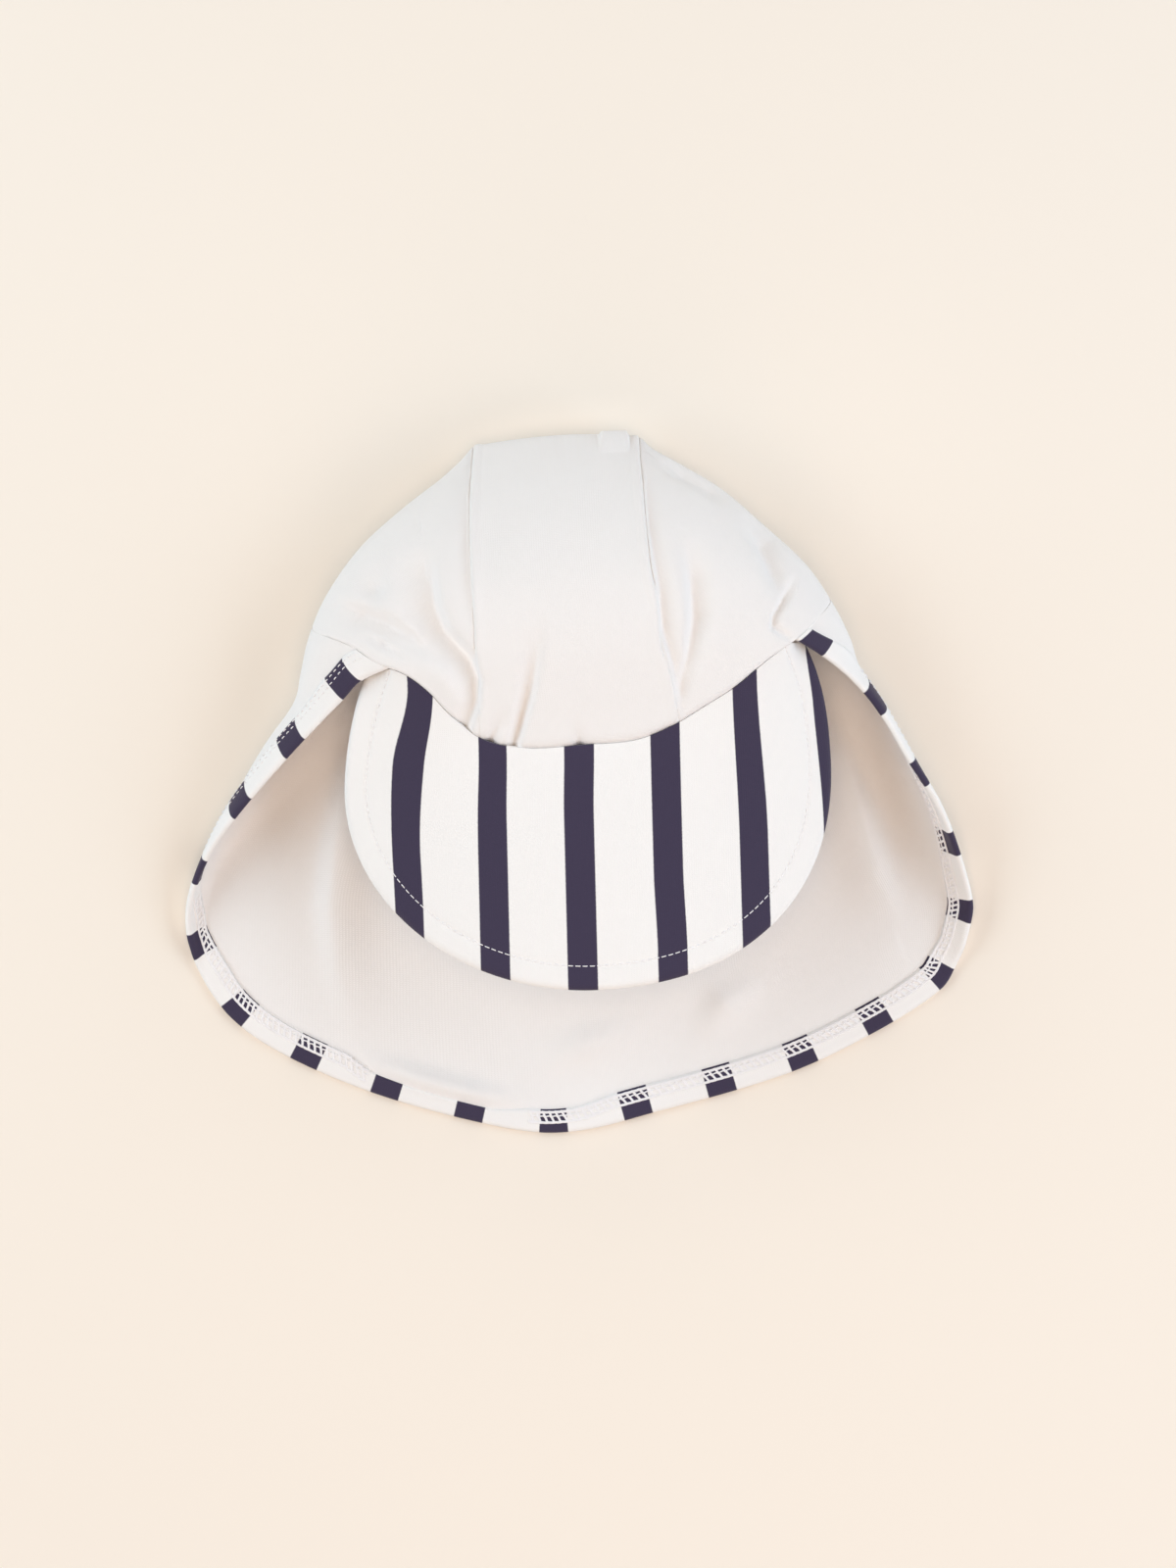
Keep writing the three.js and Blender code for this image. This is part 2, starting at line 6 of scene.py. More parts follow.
import bmesh
import bpy
import mathutils
import numpy as np
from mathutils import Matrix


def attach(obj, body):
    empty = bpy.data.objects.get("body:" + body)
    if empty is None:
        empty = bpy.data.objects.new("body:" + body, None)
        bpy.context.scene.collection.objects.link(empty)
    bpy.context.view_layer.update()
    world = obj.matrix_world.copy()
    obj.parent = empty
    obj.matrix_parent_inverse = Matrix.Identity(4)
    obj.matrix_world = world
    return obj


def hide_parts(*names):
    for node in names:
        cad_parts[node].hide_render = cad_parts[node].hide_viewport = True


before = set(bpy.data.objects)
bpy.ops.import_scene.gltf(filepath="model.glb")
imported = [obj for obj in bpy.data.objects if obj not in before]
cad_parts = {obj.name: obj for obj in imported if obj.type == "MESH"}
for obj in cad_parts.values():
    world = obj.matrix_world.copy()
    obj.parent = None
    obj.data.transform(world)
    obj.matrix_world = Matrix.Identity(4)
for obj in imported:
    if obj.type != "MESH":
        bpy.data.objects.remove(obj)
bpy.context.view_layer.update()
print("frame loaded:", len(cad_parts), "solids")

hatMiddle = np.array((-7.5, 0.4, 0.0))  # middle of the hat's box


def metres(points):
    return (np.asarray(points, float) - hatMiddle) * 0.001


# The lying body that crown and flap follow: a row for each section, from the flap's edge to the folded top
hatBody = {
    "columns": "y left right rollLeft rollRight top base hemLeft hemRight seamLeft seamRight".split(),
    "sections": np.array((
        (-150, 172, 152, 10, 25, 44, 0, 2, 2, 38, 35),
        (-95, 169, 150, 10, 25, 44, 0, 2, 2.5, 38, 35),
        (-75, 167, 148.5, 9.5, 25, 45, 0, 2.2, 4.5, 38, 35),
        (-58, 167, 152.8, 9, 25, 46, 0, 4, 9, 40.6, 37),
        (-40, 166.3, 149, 9, 25, 47, 0, 9, 16.5, 40.6, 37),
        (-20, 158.5, 141.8, 10.5, 25, 48.5, 0, 16.5, 25, 40.6, 37),
        (0, 146.5, 132, 14, 25, 51, 0, 26, 30, 40.6, 37),
        (24, 129, 120.5, 18.5, 25, 55.5, 0, 36.5, 32.5, 40.6, 36.8),
        (40, 115.5, 111.5, 23, 25, 59, 0, 43.8, 38.5, 40.6, 35),
        (52, 111.5, 108, 25, 25, 61, 0, 50, 46, 40.4, 31.9),
        (66, 107.3, 102, 25, 25, 61.5, 0, 50, 46, 40, 32.4),
        (82, 99.3, 92.4, 24.5, 24.5, 59.5, 0, 50, 46, 40.2, 29.9),
        (100, 85, 75.8, 23, 23, 53, 0, 50, 46, 40, 29.4),
        (115, 67, 61, 20, 20, 44, 0, 50, 46, 39.3, 29.4),
        (126, 51.5, 46.3, 17, 17, 34.5, 1, 50, 46, 38.3, 29.4),
        (133.5, 42.6, 35.4, 15, 15, 26, 4, 50, 46, 37.6, 29.6),
        (137.3, 38.6, 31.6, 14, 14, 20, 8, 50, 46, 37.2, 29.8),
        (138.6, 37.2, 30, 13.5, 13.5, 13.5, 13.5, 50, 46, 37, 29.8),
    )),
    "endBow": 2.6,      # the folded top bows out between the seams
    "endDip": -0.3,     # and falls back beyond them
    "endTilt": 0.01,
    "endRows": 6,       # last rows over which the bow grows
    "ridge": 1.5,       # radians up the arch where its direction can still be read
}
stationKnots = np.arange(len(hatBody["sections"]), dtype=float)
lastStation = stationKnots[-1]


# Smooth curve through the values of a table
def smoothThrough(knots, values, at):
    slope = np.empty_like(values)
    slope[1:-1] = (values[2:] - values[:-2]) / (knots[2:] - knots[:-2])
    slope[0] = (values[1] - values[0]) / (knots[1] - knots[0])
    slope[-1] = (values[-1] - values[-2]) / (knots[-1] - knots[-2])
    i = np.clip(np.searchsorted(knots, at) - 1, 0, len(knots) - 2)
    span = knots[i + 1] - knots[i]
    t = np.clip((at - knots[i]) / span, 0, 1)
    rise = t * t * (3 - 2 * t)
    bend = t * (1 - t) ** 2 * span * slope[i] + t * t * (t - 1) * span * slope[i + 1]
    return values[i] * (1 - rise) + values[i + 1] * rise + bend


# Eases from 0 at the low place to 1 at the high one
def smoothStep(x, low, high):
    t = np.clip((x - low) / (high - low), 0, 1)
    return t * t * (3 - 2 * t)


def bodyAt(column, station):
    values = hatBody["sections"][:, hatBody["columns"].index(column)]
    return smoothThrough(stationKnots, values, station)


fineStations = np.linspace(0, lastStation, 6001)
fineY = bodyAt("y", fineStations)


# Row of the table, with its fraction, at a place along y
def stationOf(y):
    return np.interp(y, fineY, fineStations)


# One half of a section: flat on the floor to the foot, rolled up to the widest place,
# then a quarter ellipse over the front
def sectionOf(side, station):
    def pick(name):
        return np.where(side < 0, bodyAt(name + "Left", station), bodyAt(name + "Right", station))

    reach = np.where(side < 0, bodyAt("left", station), bodyAt("right", station))
    base = np.maximum(bodyAt("base", station), 0)
    radius = np.maximum(pick("roll") - base, 0.01)
    hem = pick("hem")
    lean = np.where(hem < radius, np.arccos(np.clip(1 - hem / radius, -1, 1)), math.pi / 2)
    foot = reach - radius * np.sin(lean)
    return {
        "y": bodyAt("y", station),
        "base": base,
        "radius": radius,
        "foot": foot,
        "reach": foot + radius,
        "lower": foot + radius * math.pi / 2,
        "rise": np.maximum(bodyAt("top", station) - base - radius, 0.01),
        "hem": hem - base,
        "seam": pick("seam"),
    }


# Place across and height at a distance round the section from the middle of the back
def alongSection(part, distance):
    roll = np.clip((distance - part["foot"]) / part["radius"], 0, math.pi / 2)
    over = (distance - part["lower"]) / part["rise"]
    rolledX = np.minimum(distance, part["foot"]) + part["radius"] * np.sin(roll)
    rolledZ = part["base"] + part["radius"] * (1 - np.cos(roll))
    archedX = part["reach"] * np.cos(over)
    archedZ = part["base"] + part["radius"] + part["rise"] * np.sin(over)
    return np.where(over < 0, rolledX, archedX), np.where(over < 0, rolledZ, archedZ)


def distanceAtTurn(part, turn):
    front = part["lower"] + part["rise"] * np.radians(90 - turn)
    return np.where(turn >= 90, part["lower"] * (180 - turn) / 90, front)


def hemDistance(part):
    low = part["foot"] + part["radius"] * np.arccos(np.clip(1 - part["hem"] / part["radius"], -1, 1))
    lift = np.clip((part["hem"] - part["radius"]) / part["rise"], 0, 1)
    return np.where(part["hem"] < part["radius"], low, part["lower"] + part["rise"] * np.arcsin(lift))


def bodyPoint(side, station, distance):
    part = sectionOf(side, station)
    x, z = alongSection(part, distance)
    towardEnd = smoothStep(station, lastStation - hatBody["endRows"], lastStation)
    inward = np.maximum(1 - (x / part["seam"]) ** 2, hatBody["endDip"])
    y = part["y"] + towardEnd * (hatBody["endBow"] * inward - hatBody["endTilt"] * side * x)
    return np.stack((side * x, y, z), axis=-1)


def bodyNormal(side, station, distance):
    step = 0.02
    here = np.clip(station, step, lastStation - 0.1 - step)
    part = sectionOf(side, here)
    far = np.maximum(np.minimum(distance, part["lower"] + part["rise"] * hatBody["ridge"]), step)
    along = bodyPoint(side, here, far + step) - bodyPoint(side, here, far - step)
    across = bodyPoint(side, here + step, far) - bodyPoint(side, here - step, far)
    normal = np.cross(along, across) * -np.asarray(side)[..., None]
    return normal / np.linalg.norm(normal, axis=-1, keepdims=True)


# Rim of the crown: place along y for each turn round the head, 0 at the forehead and 180 at the nape
crownRim = {
    "turn": np.array((0, 9, 17, 24, 31, 38, 45, 54, 66, 78, 90, 104, 120, 140, 160, 180.0)),
    "left": np.array((
        15.2, 15.2, 19.4, 29, 39.5, 47.5, 52, 59.5, 64.5, 67.5, 69.3, 67.5, 58, 40, 27, 22)),
    "right": np.array((
        15.2, 15.7, 21, 27.5, 33.5, 40.2, 46.3, 52.5, 60, 64.8, 67, 65.5, 57, 40, 27, 22)),
}


def rimY(side, turn):
    left = smoothThrough(crownRim["turn"], crownRim["left"], turn)
    right = smoothThrough(crownRim["turn"], crownRim["right"], turn)
    return np.where(side < 0, left, right)


# Length along each line of a grid of points
def runLength(points, axis):
    steps = np.linalg.norm(np.diff(points, axis=axis), axis=-1)
    first = np.zeros_like(np.take(steps, [0], axis=axis))
    return np.concatenate((first, np.cumsum(steps, axis=axis)), axis=axis)


# Mesh with the cloth's own millimetres as its UV map, turned outside out and put on the hat's one body
def meshPiece(name, points, faces, uv, material):
    mesh = bpy.data.meshes.new(name)
    mesh.from_pydata(metres(points).tolist(), [], faces)
    layer = mesh.uv_layers.new(name="clothMillimetres")
    corners = np.empty(len(mesh.loops), dtype=int)
    mesh.loops.foreach_get("vertex_index", corners)
    layer.data.foreach_set("uv", np.asarray(uv, float)[corners].ravel())
    work = bmesh.new()
    work.from_mesh(mesh)
    bmesh.ops.remove_doubles(work, verts=work.verts, dist=2e-6)   # where a wall runs out to nothing
    if work.calc_volume(signed=True) < 0:
        bmesh.ops.reverse_faces(work, faces=work.faces)
    work.to_mesh(mesh)
    work.free()
    mesh.shade_smooth()
    mesh.set_sharp_from_angle(angle=math.radians(70))   # cut edges stay crisp
    mesh.materials.append(material)
    piece = bpy.data.objects.new(name, mesh)
    bpy.context.scene.collection.objects.link(piece)
    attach(piece, "root")
    return piece


# Closed wall between two grids of points
def wallPiece(name, outer, inner, uv, material):
    rows, columns = outer.shape[:2]
    count = rows * columns
    number = np.arange(count).reshape(rows, columns)
    a, b = number[:-1, :-1].ravel(), number[:-1, 1:].ravel()
    c, d = number[1:, 1:].ravel(), number[1:, :-1].ravel()
    faces = np.concatenate((
        np.stack((a, b, c, d), 1),
        np.stack((a, d, c, b), 1) + count,
    )).tolist()
    loop = np.concatenate((number[0, :-1], number[:-1, -1], number[-1, :0:-1], number[:0:-1, 0]))
    for here, there in zip(loop, np.roll(loop, -1)):
        faces.append((there, here, here + count, there + count))
    points = np.concatenate((outer.reshape(-1, 3), inner.reshape(-1, 3)))
    flatUv = np.concatenate((uv.reshape(-1, 2), uv.reshape(-1, 2)))
    return meshPiece(name, points, faces, flatUv, material)


# Tubes of thread along short runs of points, closed at both ends
def threadPiece(name, runs, radius, material, sides=6):
    points, faces, uv = [], [], []
    turn = np.linspace(0, 2 * math.pi, sides, endpoint=False)
    for run in runs:
        run = np.asarray(run, float)
        ahead = np.gradient(run, axis=0)
        ahead /= np.linalg.norm(ahead, axis=1, keepdims=True)
        across = np.cross(ahead, (0.31, 0.17, 0.93))   # a direction that no thread runs along
        across /= np.linalg.norm(across, axis=1, keepdims=True)
        up = np.cross(across, ahead)
        start = len(points)
        along = runLength(run, 0)
        for k in range(len(run)):
            ring = run[k] + radius * (np.cos(turn)[:, None] * across[k] + np.sin(turn)[:, None] * up[k])
            points.extend(ring)
            uv.extend((along[k], radius * angle) for angle in turn)
        for k in range(len(run) - 1):
            for s in range(sides):
                p, q = start + k * sides + s, start + k * sides + (s + 1) % sides
                faces.append((p, q, q + sides, p + sides))
        faces.append(tuple(range(start + sides - 1, start - 1, -1)))
        last = start + (len(run) - 1) * sides
        faces.append(tuple(range(last, last + sides)))
    return meshPiece(name, np.array(points), faces, np.array(uv), material)


# sRGB hex to linear colour
def linear(hexColour):
    channels = [int(hexColour[i:i + 2], 16) / 255 for i in (1, 3, 5)]
    return [c / 12.92 if c <= 0.04045 else ((c + 0.055) / 1.055) ** 2.4 for c in channels] + [1.0]


# Adds a node, sets its properties, and fills its inputs with values or with (node, output) links
def addNode(tree, kind, settings, inputs):
    made = tree.nodes.new(kind)
    for key, value in settings.items():
        setattr(made, key, value)
    for key, value in inputs.items():
        if isinstance(value, tuple) and hasattr(value[0], "outputs"):
            tree.links.new(value[0].outputs[value[1]], made.inputs[key])
        else:
            made.inputs[key].default_value = value
    return made


def newMaterial(name):
    material = bpy.data.materials.new(name)
    material.use_nodes = True
    tree = material.node_tree
    return material, tree, tree.nodes["Principled BSDF"]


jersey = {
    "white": "#F1EEEC",
    "stripeWhite": "#F4F2F0",
    "navy": "#3A324A",
    "wale": 0.9,          # real tricot has about 0.5 mm between wales, drawn coarser so that it shows
    "course": 0.75,
    "knitHeight": 0.00003,
    "fuzz": 1.111,        # size of the yarn's unevenness
    "cloud": 33.3,        # size and depth of faint patches of tone, and what they tend to
    "cloudDepth": 0.1,
    "shade": 0.93,
    "roughness": 0.82,
    "gloss": 0.3,
    "sheen": 0.2,         # bloom of the yarn and how far it spreads
    "sheenSpread": 0.5,
}


# Warp-knitted swim jersey: matt, faintly ribbed, with the soft bloom of fine filament yarn at its edges
def swimJersey(name, stripes=None):
    material, tree, shader = newMaterial(name)
    uv = addNode(tree, "ShaderNodeUVMap", {"uv_map": "clothMillimetres"}, {})
    place = addNode(tree, "ShaderNodeSeparateXYZ", {}, {0: (uv, 0)})
    wale = addNode(tree, "ShaderNodeMath", {"operation": "MULTIPLY"},
                   {0: (place, 0), 1: 2 * math.pi / jersey["wale"]})
    course = addNode(tree, "ShaderNodeMath", {"operation": "MULTIPLY"},
                     {0: (place, 1), 1: 2 * math.pi / jersey["course"]})
    ribs = addNode(tree, "ShaderNodeMath", {"operation": "SINE"}, {0: (wale, 0)})
    shifted = addNode(tree, "ShaderNodeMath", {"operation": "ADD"}, {0: (course, 0), 1: (ribs, 0)})
    loops = addNode(tree, "ShaderNodeMath", {"operation": "SINE"}, {0: (shifted, 0)})
    knit = addNode(tree, "ShaderNodeMath", {"operation": "ADD"}, {0: (ribs, 0), 1: (loops, 0)})
    fuzz = addNode(tree, "ShaderNodeTexNoise", {},
                   {"Vector": (uv, 0), "Scale": 1 / jersey["fuzz"], "Detail": 3.0})
    grain = addNode(tree, "ShaderNodeMath", {"operation": "MULTIPLY_ADD"},
                    {0: (fuzz, 0), 1: 2.0, 2: (knit, 0)})
    bump = addNode(tree, "ShaderNodeBump", {}, {
        "Height": (grain, 0), "Strength": 0.5, "Distance": jersey["knitHeight"]})
    tree.links.new(bump.outputs[0], shader.inputs["Normal"])
    cloud = addNode(tree, "ShaderNodeTexNoise", {},
                    {"Vector": (uv, 0), "Scale": 1 / jersey["cloud"], "Detail": 2.0})
    tone = addNode(tree, "ShaderNodeMapRange", {},
                   {0: (cloud, 0), 1: 0.3, 2: 0.7, 3: 0.0, 4: jersey["cloudDepth"]})
    white = linear(jersey["stripeWhite" if stripes else "white"])
    cloth = addNode(tree, "ShaderNodeMix", {"data_type": "RGBA"},
                    {0: (tone, 0), 6: white, 7: [c * jersey["shade"] for c in white[:3]] + [1.0]})
    if stripes:
        wobble = addNode(tree, "ShaderNodeTexNoise", {},
                         {"Vector": (uv, 0), "Scale": 1 / stripes["wobbleSize"], "Detail": 1.0})
        frayed = addNode(tree, "ShaderNodeMath", {"operation": "MULTIPLY_ADD"},
                         {0: (wobble, 0), 1: stripes["wobble"], 2: (place, 0)})
        lanes = addNode(tree, "ShaderNodeMath", {"operation": "MULTIPLY_ADD"}, {
            0: (frayed, 0), 1: 1 / stripes["pitch"], 2: 0.5 - stripes["first"] / stripes["pitch"]})
        lane = addNode(tree, "ShaderNodeMath", {"operation": "FRACT"}, {0: (lanes, 0)})
        fromMiddle = addNode(tree, "ShaderNodeMath", {"operation": "SUBTRACT"}, {0: (lane, 0), 1: 0.5})
        away = addNode(tree, "ShaderNodeMath", {"operation": "ABSOLUTE"}, {0: (fromMiddle, 0)})
        half = stripes["width"] / 2 / stripes["pitch"]
        blur = stripes["edge"] / stripes["pitch"]
        inside = addNode(tree, "ShaderNodeMapRange", {},
                         {0: (away, 0), 1: half - blur, 2: half + blur, 3: 1.0, 4: 0.0})
        cloth = addNode(tree, "ShaderNodeMix", {"data_type": "RGBA"},
                        {0: (inside, 0), 6: (cloth, 2), 7: linear(jersey["navy"])})
    tree.links.new(cloth.outputs[2], shader.inputs["Base Color"])
    shader.inputs["Roughness"].default_value = jersey["roughness"]
    shader.inputs["Specular IOR Level"].default_value = jersey["gloss"]
    shader.inputs["Sheen Weight"].default_value = jersey["sheen"]
    shader.inputs["Sheen Roughness"].default_value = jersey["sheenSpread"]
    return material


# Spacing and width of the stripes, place of the first, and how soft and uneven their edges are
peakStripes = {
    "pitch": 34.0, "width": 11.6, "first": -4.0, "edge": 0.18, "wobble": 0.15, "wobbleSize": 0.909,
}
bindingStripes = {
    "pitch": 34.5, "width": 11.6, "first": 0.0, "edge": 0.18, "wobble": 0.15, "wobbleSize": 0.909,
    # how many stripes in a row lie how far apart along the free edge, from one before its left end:
    # as in the cloth at the left, wider along the bottom and closer round the right corner
    "before": -15.1,
    "sewn": ((6, 34.0), (7, 35.5), (2, 34.4), (2, 31.3), (2, 33.8), (2, 36.0)),
}
whiteJersey = swimJersey("tricotJerseyWhite")
stripedJersey = swimJersey("tricotJerseyStriped", peakStripes)
stripedStrip = swimJersey("tricotJerseyStripedStrip", bindingStripes)

thread = {"colour": "#F8F6F7", "shade": 0.93, "twist": 0.393, "roughness": 0.55, "sheen": 0.1}


# Spun polyester sewing thread: brighter than the cloth, with a slight gloss
def sewingThread(name):
    material, tree, shader = newMaterial(name)
    light = linear(thread["colour"])
    uv = addNode(tree, "ShaderNodeUVMap", {"uv_map": "clothMillimetres"}, {})
    # a diagonal wave of scale 1 has ten radians to the unit
    ply = addNode(tree, "ShaderNodeTexWave", {"bands_direction": "DIAGONAL"},
                  {"Vector": (uv, 0), "Scale": 2 * math.pi / 10 / thread["twist"], "Distortion": 0.4})
    tone = addNode(tree, "ShaderNodeMix", {"data_type": "RGBA"},
                   {0: (ply, 1), 6: [c * thread["shade"] for c in light[:3]] + [1.0], 7: light})
    tree.links.new(tone.outputs[2], shader.inputs["Base Color"])
    shader.inputs["Roughness"].default_value = thread["roughness"]
    shader.inputs["Sheen Weight"].default_value = thread["sheen"]
    return material


whiteThread = sewingThread("polyesterThreadWhite")
print("materials made")


# Three panels of the crown
crown = {
    "wall": 1.3,
    "gap": 0.03,               # half of what is left open between two panels
    "rows": 130,
    "centreColumns": 80,
    "sideColumns": 170,
    "grooveDepth": 0.75,       # panels roll down into the seam, less so towards the rim
    "grooveRun": 0.9,
    "allowance": 3.4,          # sewn-down seam allowance under the centre panel
    "allowanceLift": 0.6,
    "allowanceFade": 0.8,
    # share of the way down from the top over which groove and allowance fade, and by how much each
    "fade": {"from": 0.25, "to": 0.55, "groove": 0.7, "allowance": 0.6},
    # edge rolled under where it is sewn to the peak and then, from one turn to the other, to the flap
    "rimRoll": {"peak": 1.1, "flap": 0.3},
    "rimRun": {"peak": 2.0, "flap": 1.0},
    "flapTurns": (38, 50),
    "leftCorner": {"roll": 0.5, "turn": 56, "run": 6},
    "foldRise": 8,             # folds begin over this height above the widest place
    # seam ends pushed up at the folded top
    "bulk": {"at": (19.5, 135.4), "half": (6.2, 4.2), "edge": (0.8, 1.05), "slope": (-7, 4), "lift": 2.3},
    # soft folds in the front: spread of their left and right sides, then points (x, y),
    # half width and depth
    "folds": (
        (0.85, 2.1, ((-59, 97, 5.5, 0.8), (-58, 84, 5, 4.4), (-56.8, 73, 4.6, 5.8), (-53.2, 63, 4, 6.6),
                     (-48.4, 56.8, 3.6, 6.6), (-43.6, 50.8, 3.2, 6.4), (-41.2, 43, 2.6, 5.2),
                     (-42, 34, 2.2, 4), (-45.8, 25.5, 2, 3.4))),
        (1, 1, ((-68, 66, 5, -0.4), (-62, 55, 5, -1.6), (-54, 46, 5, -1.6), (-49, 37, 4, -0.6))),
        (0.8, 1.4, ((-93, 77, 3.6, 1), (-85, 72.5, 4, 4.8), (-76, 68, 4, 5.6), (-67, 61.5, 3.6, 4.6),
                    (-57, 51, 4, 0.8))),
        (0.7, 1, ((-84, 64, 1.8, 0.6), (-77, 60, 1.8, 2.4), (-70, 55, 1.8, 0.8))),
        (0.9, 1.5, ((-15, 62, 4, 0.5), (-18, 48, 3.2, 2.8), (-21, 36, 2.6, 4.2), (-25, 24, 2, 4.6),
                    (-28, 16, 1.7, 3.4))),
        (1, 1, ((-31, 28, 2.6, 0.6), (-37, 19, 2, 2.6))),
        (1, 1, ((-3, 23, 2.4, 0.3), (-2.4, 15.5, 2, 2))),
        (1.2, 0.8, ((45, 94, 5.5, 0.4), (46.5, 78, 4.6, 4), (46.5, 62, 4, 5), (43, 47, 3, 3.4),
                    (39, 34, 2.4, 1.6))),
        (1, 1, ((69, 104, 5.5, 0.6), (76, 91, 4.8, 4.4), (79, 79, 4.2, 3.4), (80, 70, 3.2, 0.8))),
        (0.8, 0.8, ((87, 75, 2, 0.8), (81.5, 66.5, 1.8, 2.8), (77.5, 60.5, 1.7, 3),
                    (76.6, 56.5, 1.7, 2.2), (82, 52.5, 2, 1.2))),
        (0.8, 1.3, ((37, 128, 4, 0.8), (47, 122, 3.4, 3.6), (57, 114.5, 3.4, 3), (64, 108, 4, 0.6))),
        (1, 1, ((-34, 120, 8, 0.3), (-33, 100, 9, 1.4), (-34, 80, 8, 0.3))),
        (1, 1, ((-78, 93, 6, 0.3), (-79, 83, 5.5, 3), (-80, 75, 5, 0.8))),
        (1.8, 0.5, ((31, 116, 2, 0.8), (30.8, 98, 2.2, 1.7), (33, 76, 2.4, 2.4), (33.2, 58, 2.4, 2.8),
                    (36.4, 43, 2.2, 2), (38, 28, 2, 1))),
        (0.5, 1.6, ((-40.6, 114, 1.8, 0.6), (-41.2, 98, 2, 1.3), (-41.2, 80, 2, 1.3),
                    (-41.2, 68, 1.8, 0.4))),
    ),
}


# Height of all folds at a place; within one fold the deepest stretch counts
def foldRelief(x, y, folds):
    relief = np.zeros_like(x)
    for leftSpread, rightSpread, path in folds:
        groove = np.zeros_like(x)
        for (ax, ay, aWide, aDeep), (bx, by, bWide, bDeep) in zip(path, path[1:]):
            dx, dy = bx - ax, by - ay
            t = np.clip(((x - ax) * dx + (y - ay) * dy) / (dx * dx + dy * dy), 0, 1)
            away = np.hypot(x - ax - t * dx, y - ay - t * dy)
            onLeft = dx * (y - ay) - dy * (x - ax) > 0
            wide = (aWide + (bWide - aWide) * t) * np.where(onLeft, leftSpread, rightSpread)
            amount = (aDeep + (bDeep - aDeep) * t) * np.exp(-(away / wide) ** 2)
            groove = np.where(np.abs(amount) > np.abs(groove), amount, groove)
        relief -= groove
    return relief


def rolledEdge(away, depth, run):
    t = 1 - np.clip(away / run, 0, 1)
    return -depth * (1 - np.sqrt(1 - t * t))


# Where a panel's rows begin, found by turns, and the places from there to the folded top
def crownPlaces(side, rule, part):
    turn = np.full(np.broadcast(side, part).shape, 90.0)
    station = np.full_like(turn, lastStation - 8)
    for _ in range(8):
        turn, _distance = rule(station)
        station = stationOf(rimY(side, turn))
    station = station + (lastStation - station) * part
    return (station, *rule(station))


def frontTurn(part, x):
    return np.degrees(np.arcsin(np.clip(x / part["reach"], 0, 1)))


def crownPanel(name, node, side, station, turn, distance, place):
    smooth = bodyPoint(side, station, distance)
    normal = bodyNormal(side, station, distance)
    part = sectionOf(side, station)
    across = runLength(smooth, 1)
    along = runLength(smooth, 0)
    fromSeam = np.minimum(across, across[:, -1:] - across)
    fromRim = np.minimum(along, along[-1:] - along) if place == "centre" else along
    fromTop = 1 - station / lastStation
    front = smoothStep(smooth[..., 2] - part["base"] - part["radius"], 0, crown["foldRise"])
    relief = front * foldRelief(smooth[..., 0], smooth[..., 1], crown["folds"])
    fade = crown["fade"]
    fading = smoothStep(fromTop, fade["from"], fade["to"])
    relief += rolledEdge(fromSeam, crown["grooveDepth"], crown["grooveRun"]) * (1 - fade["groove"] * fading)
    toFlap = smoothStep(turn, *crown["flapTurns"])
    rimRoll, rimRun = [crown[key]["peak"] * (1 - toFlap) + crown[key]["flap"] * toFlap
                       for key in ("rimRoll", "rimRun")]
    corner = crown["leftCorner"]
    atCorner = np.exp(-((turn - corner["turn"]) / corner["run"]) ** 2)
    rimRoll += np.where(side < 0, corner["roll"] * atCorner, 0)
    relief += rolledEdge(fromRim, rimRoll, rimRun)
    if place == "centre":
        end, soft = crown["allowance"], crown["allowanceFade"]
        lift = crown["allowanceLift"] * (1 - fade["allowance"] * fading)
        relief += lift * (1 - smoothStep(fromSeam, end - soft, end + soft))
        bulk = crown["bulk"]
        offX = np.abs(smooth[..., 0] - bulk["at"][0]) / bulk["half"][0]
        offY = np.abs(smooth[..., 1] - bulk["at"][1]) / bulk["half"][1]
        raised = (1 - smoothStep(np.maximum(offX, offY), *bulk["edge"])) * (normal[..., 2] > 0)
        relief += bulk["lift"] * raised * smoothStep(smooth[..., 1] - bulk["at"][1], *bulk["slope"])
    outer = smooth + normal * relief[..., None]
    # the inside follows the folds, but not what is raised
    inner = smooth + normal * (np.minimum(relief, 0.2) - crown["wall"])[..., None]
    inner[..., 2] = np.maximum(inner[..., 2], 0.4)    # nothing goes through the floor
    outer[..., 2] = np.maximum(outer[..., 2], 0.02)
    uv = np.stack((across - across[:, -1:] / 2, along), axis=-1)
    piece = wallPiece(name, outer, inner, uv, whiteJersey)
    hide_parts(node)
    return piece


# The centre strip runs up the front and, in the same grid, down the back
rows = np.linspace(0, 1, crown["rows"] + 1)
part = np.concatenate((rows, rows[-2::-1]))[:, None]
back = (np.arange(2 * crown["rows"] + 1) > crown["rows"])[:, None]
across = np.linspace(-1, 1, crown["centreColumns"] + 1)[None, :]
centreSide = np.where(across < 0, -1.0, 1.0) + 0 * part


def centreRule(station):
    section = sectionOf(centreSide, station)
    x = np.abs(across) * (section["seam"] - crown["gap"])
    turn = np.where(back, 180 - 90 * x / section["lower"], frontTurn(section, x))
    return turn, np.where(back, x, distanceAtTurn(section, turn))


station, turn, distance = crownPlaces(centreSide, centreRule, part)
crownCentre = crownPanel("crownCentre", "crown_centre", centreSide, station, turn, distance, "centre")

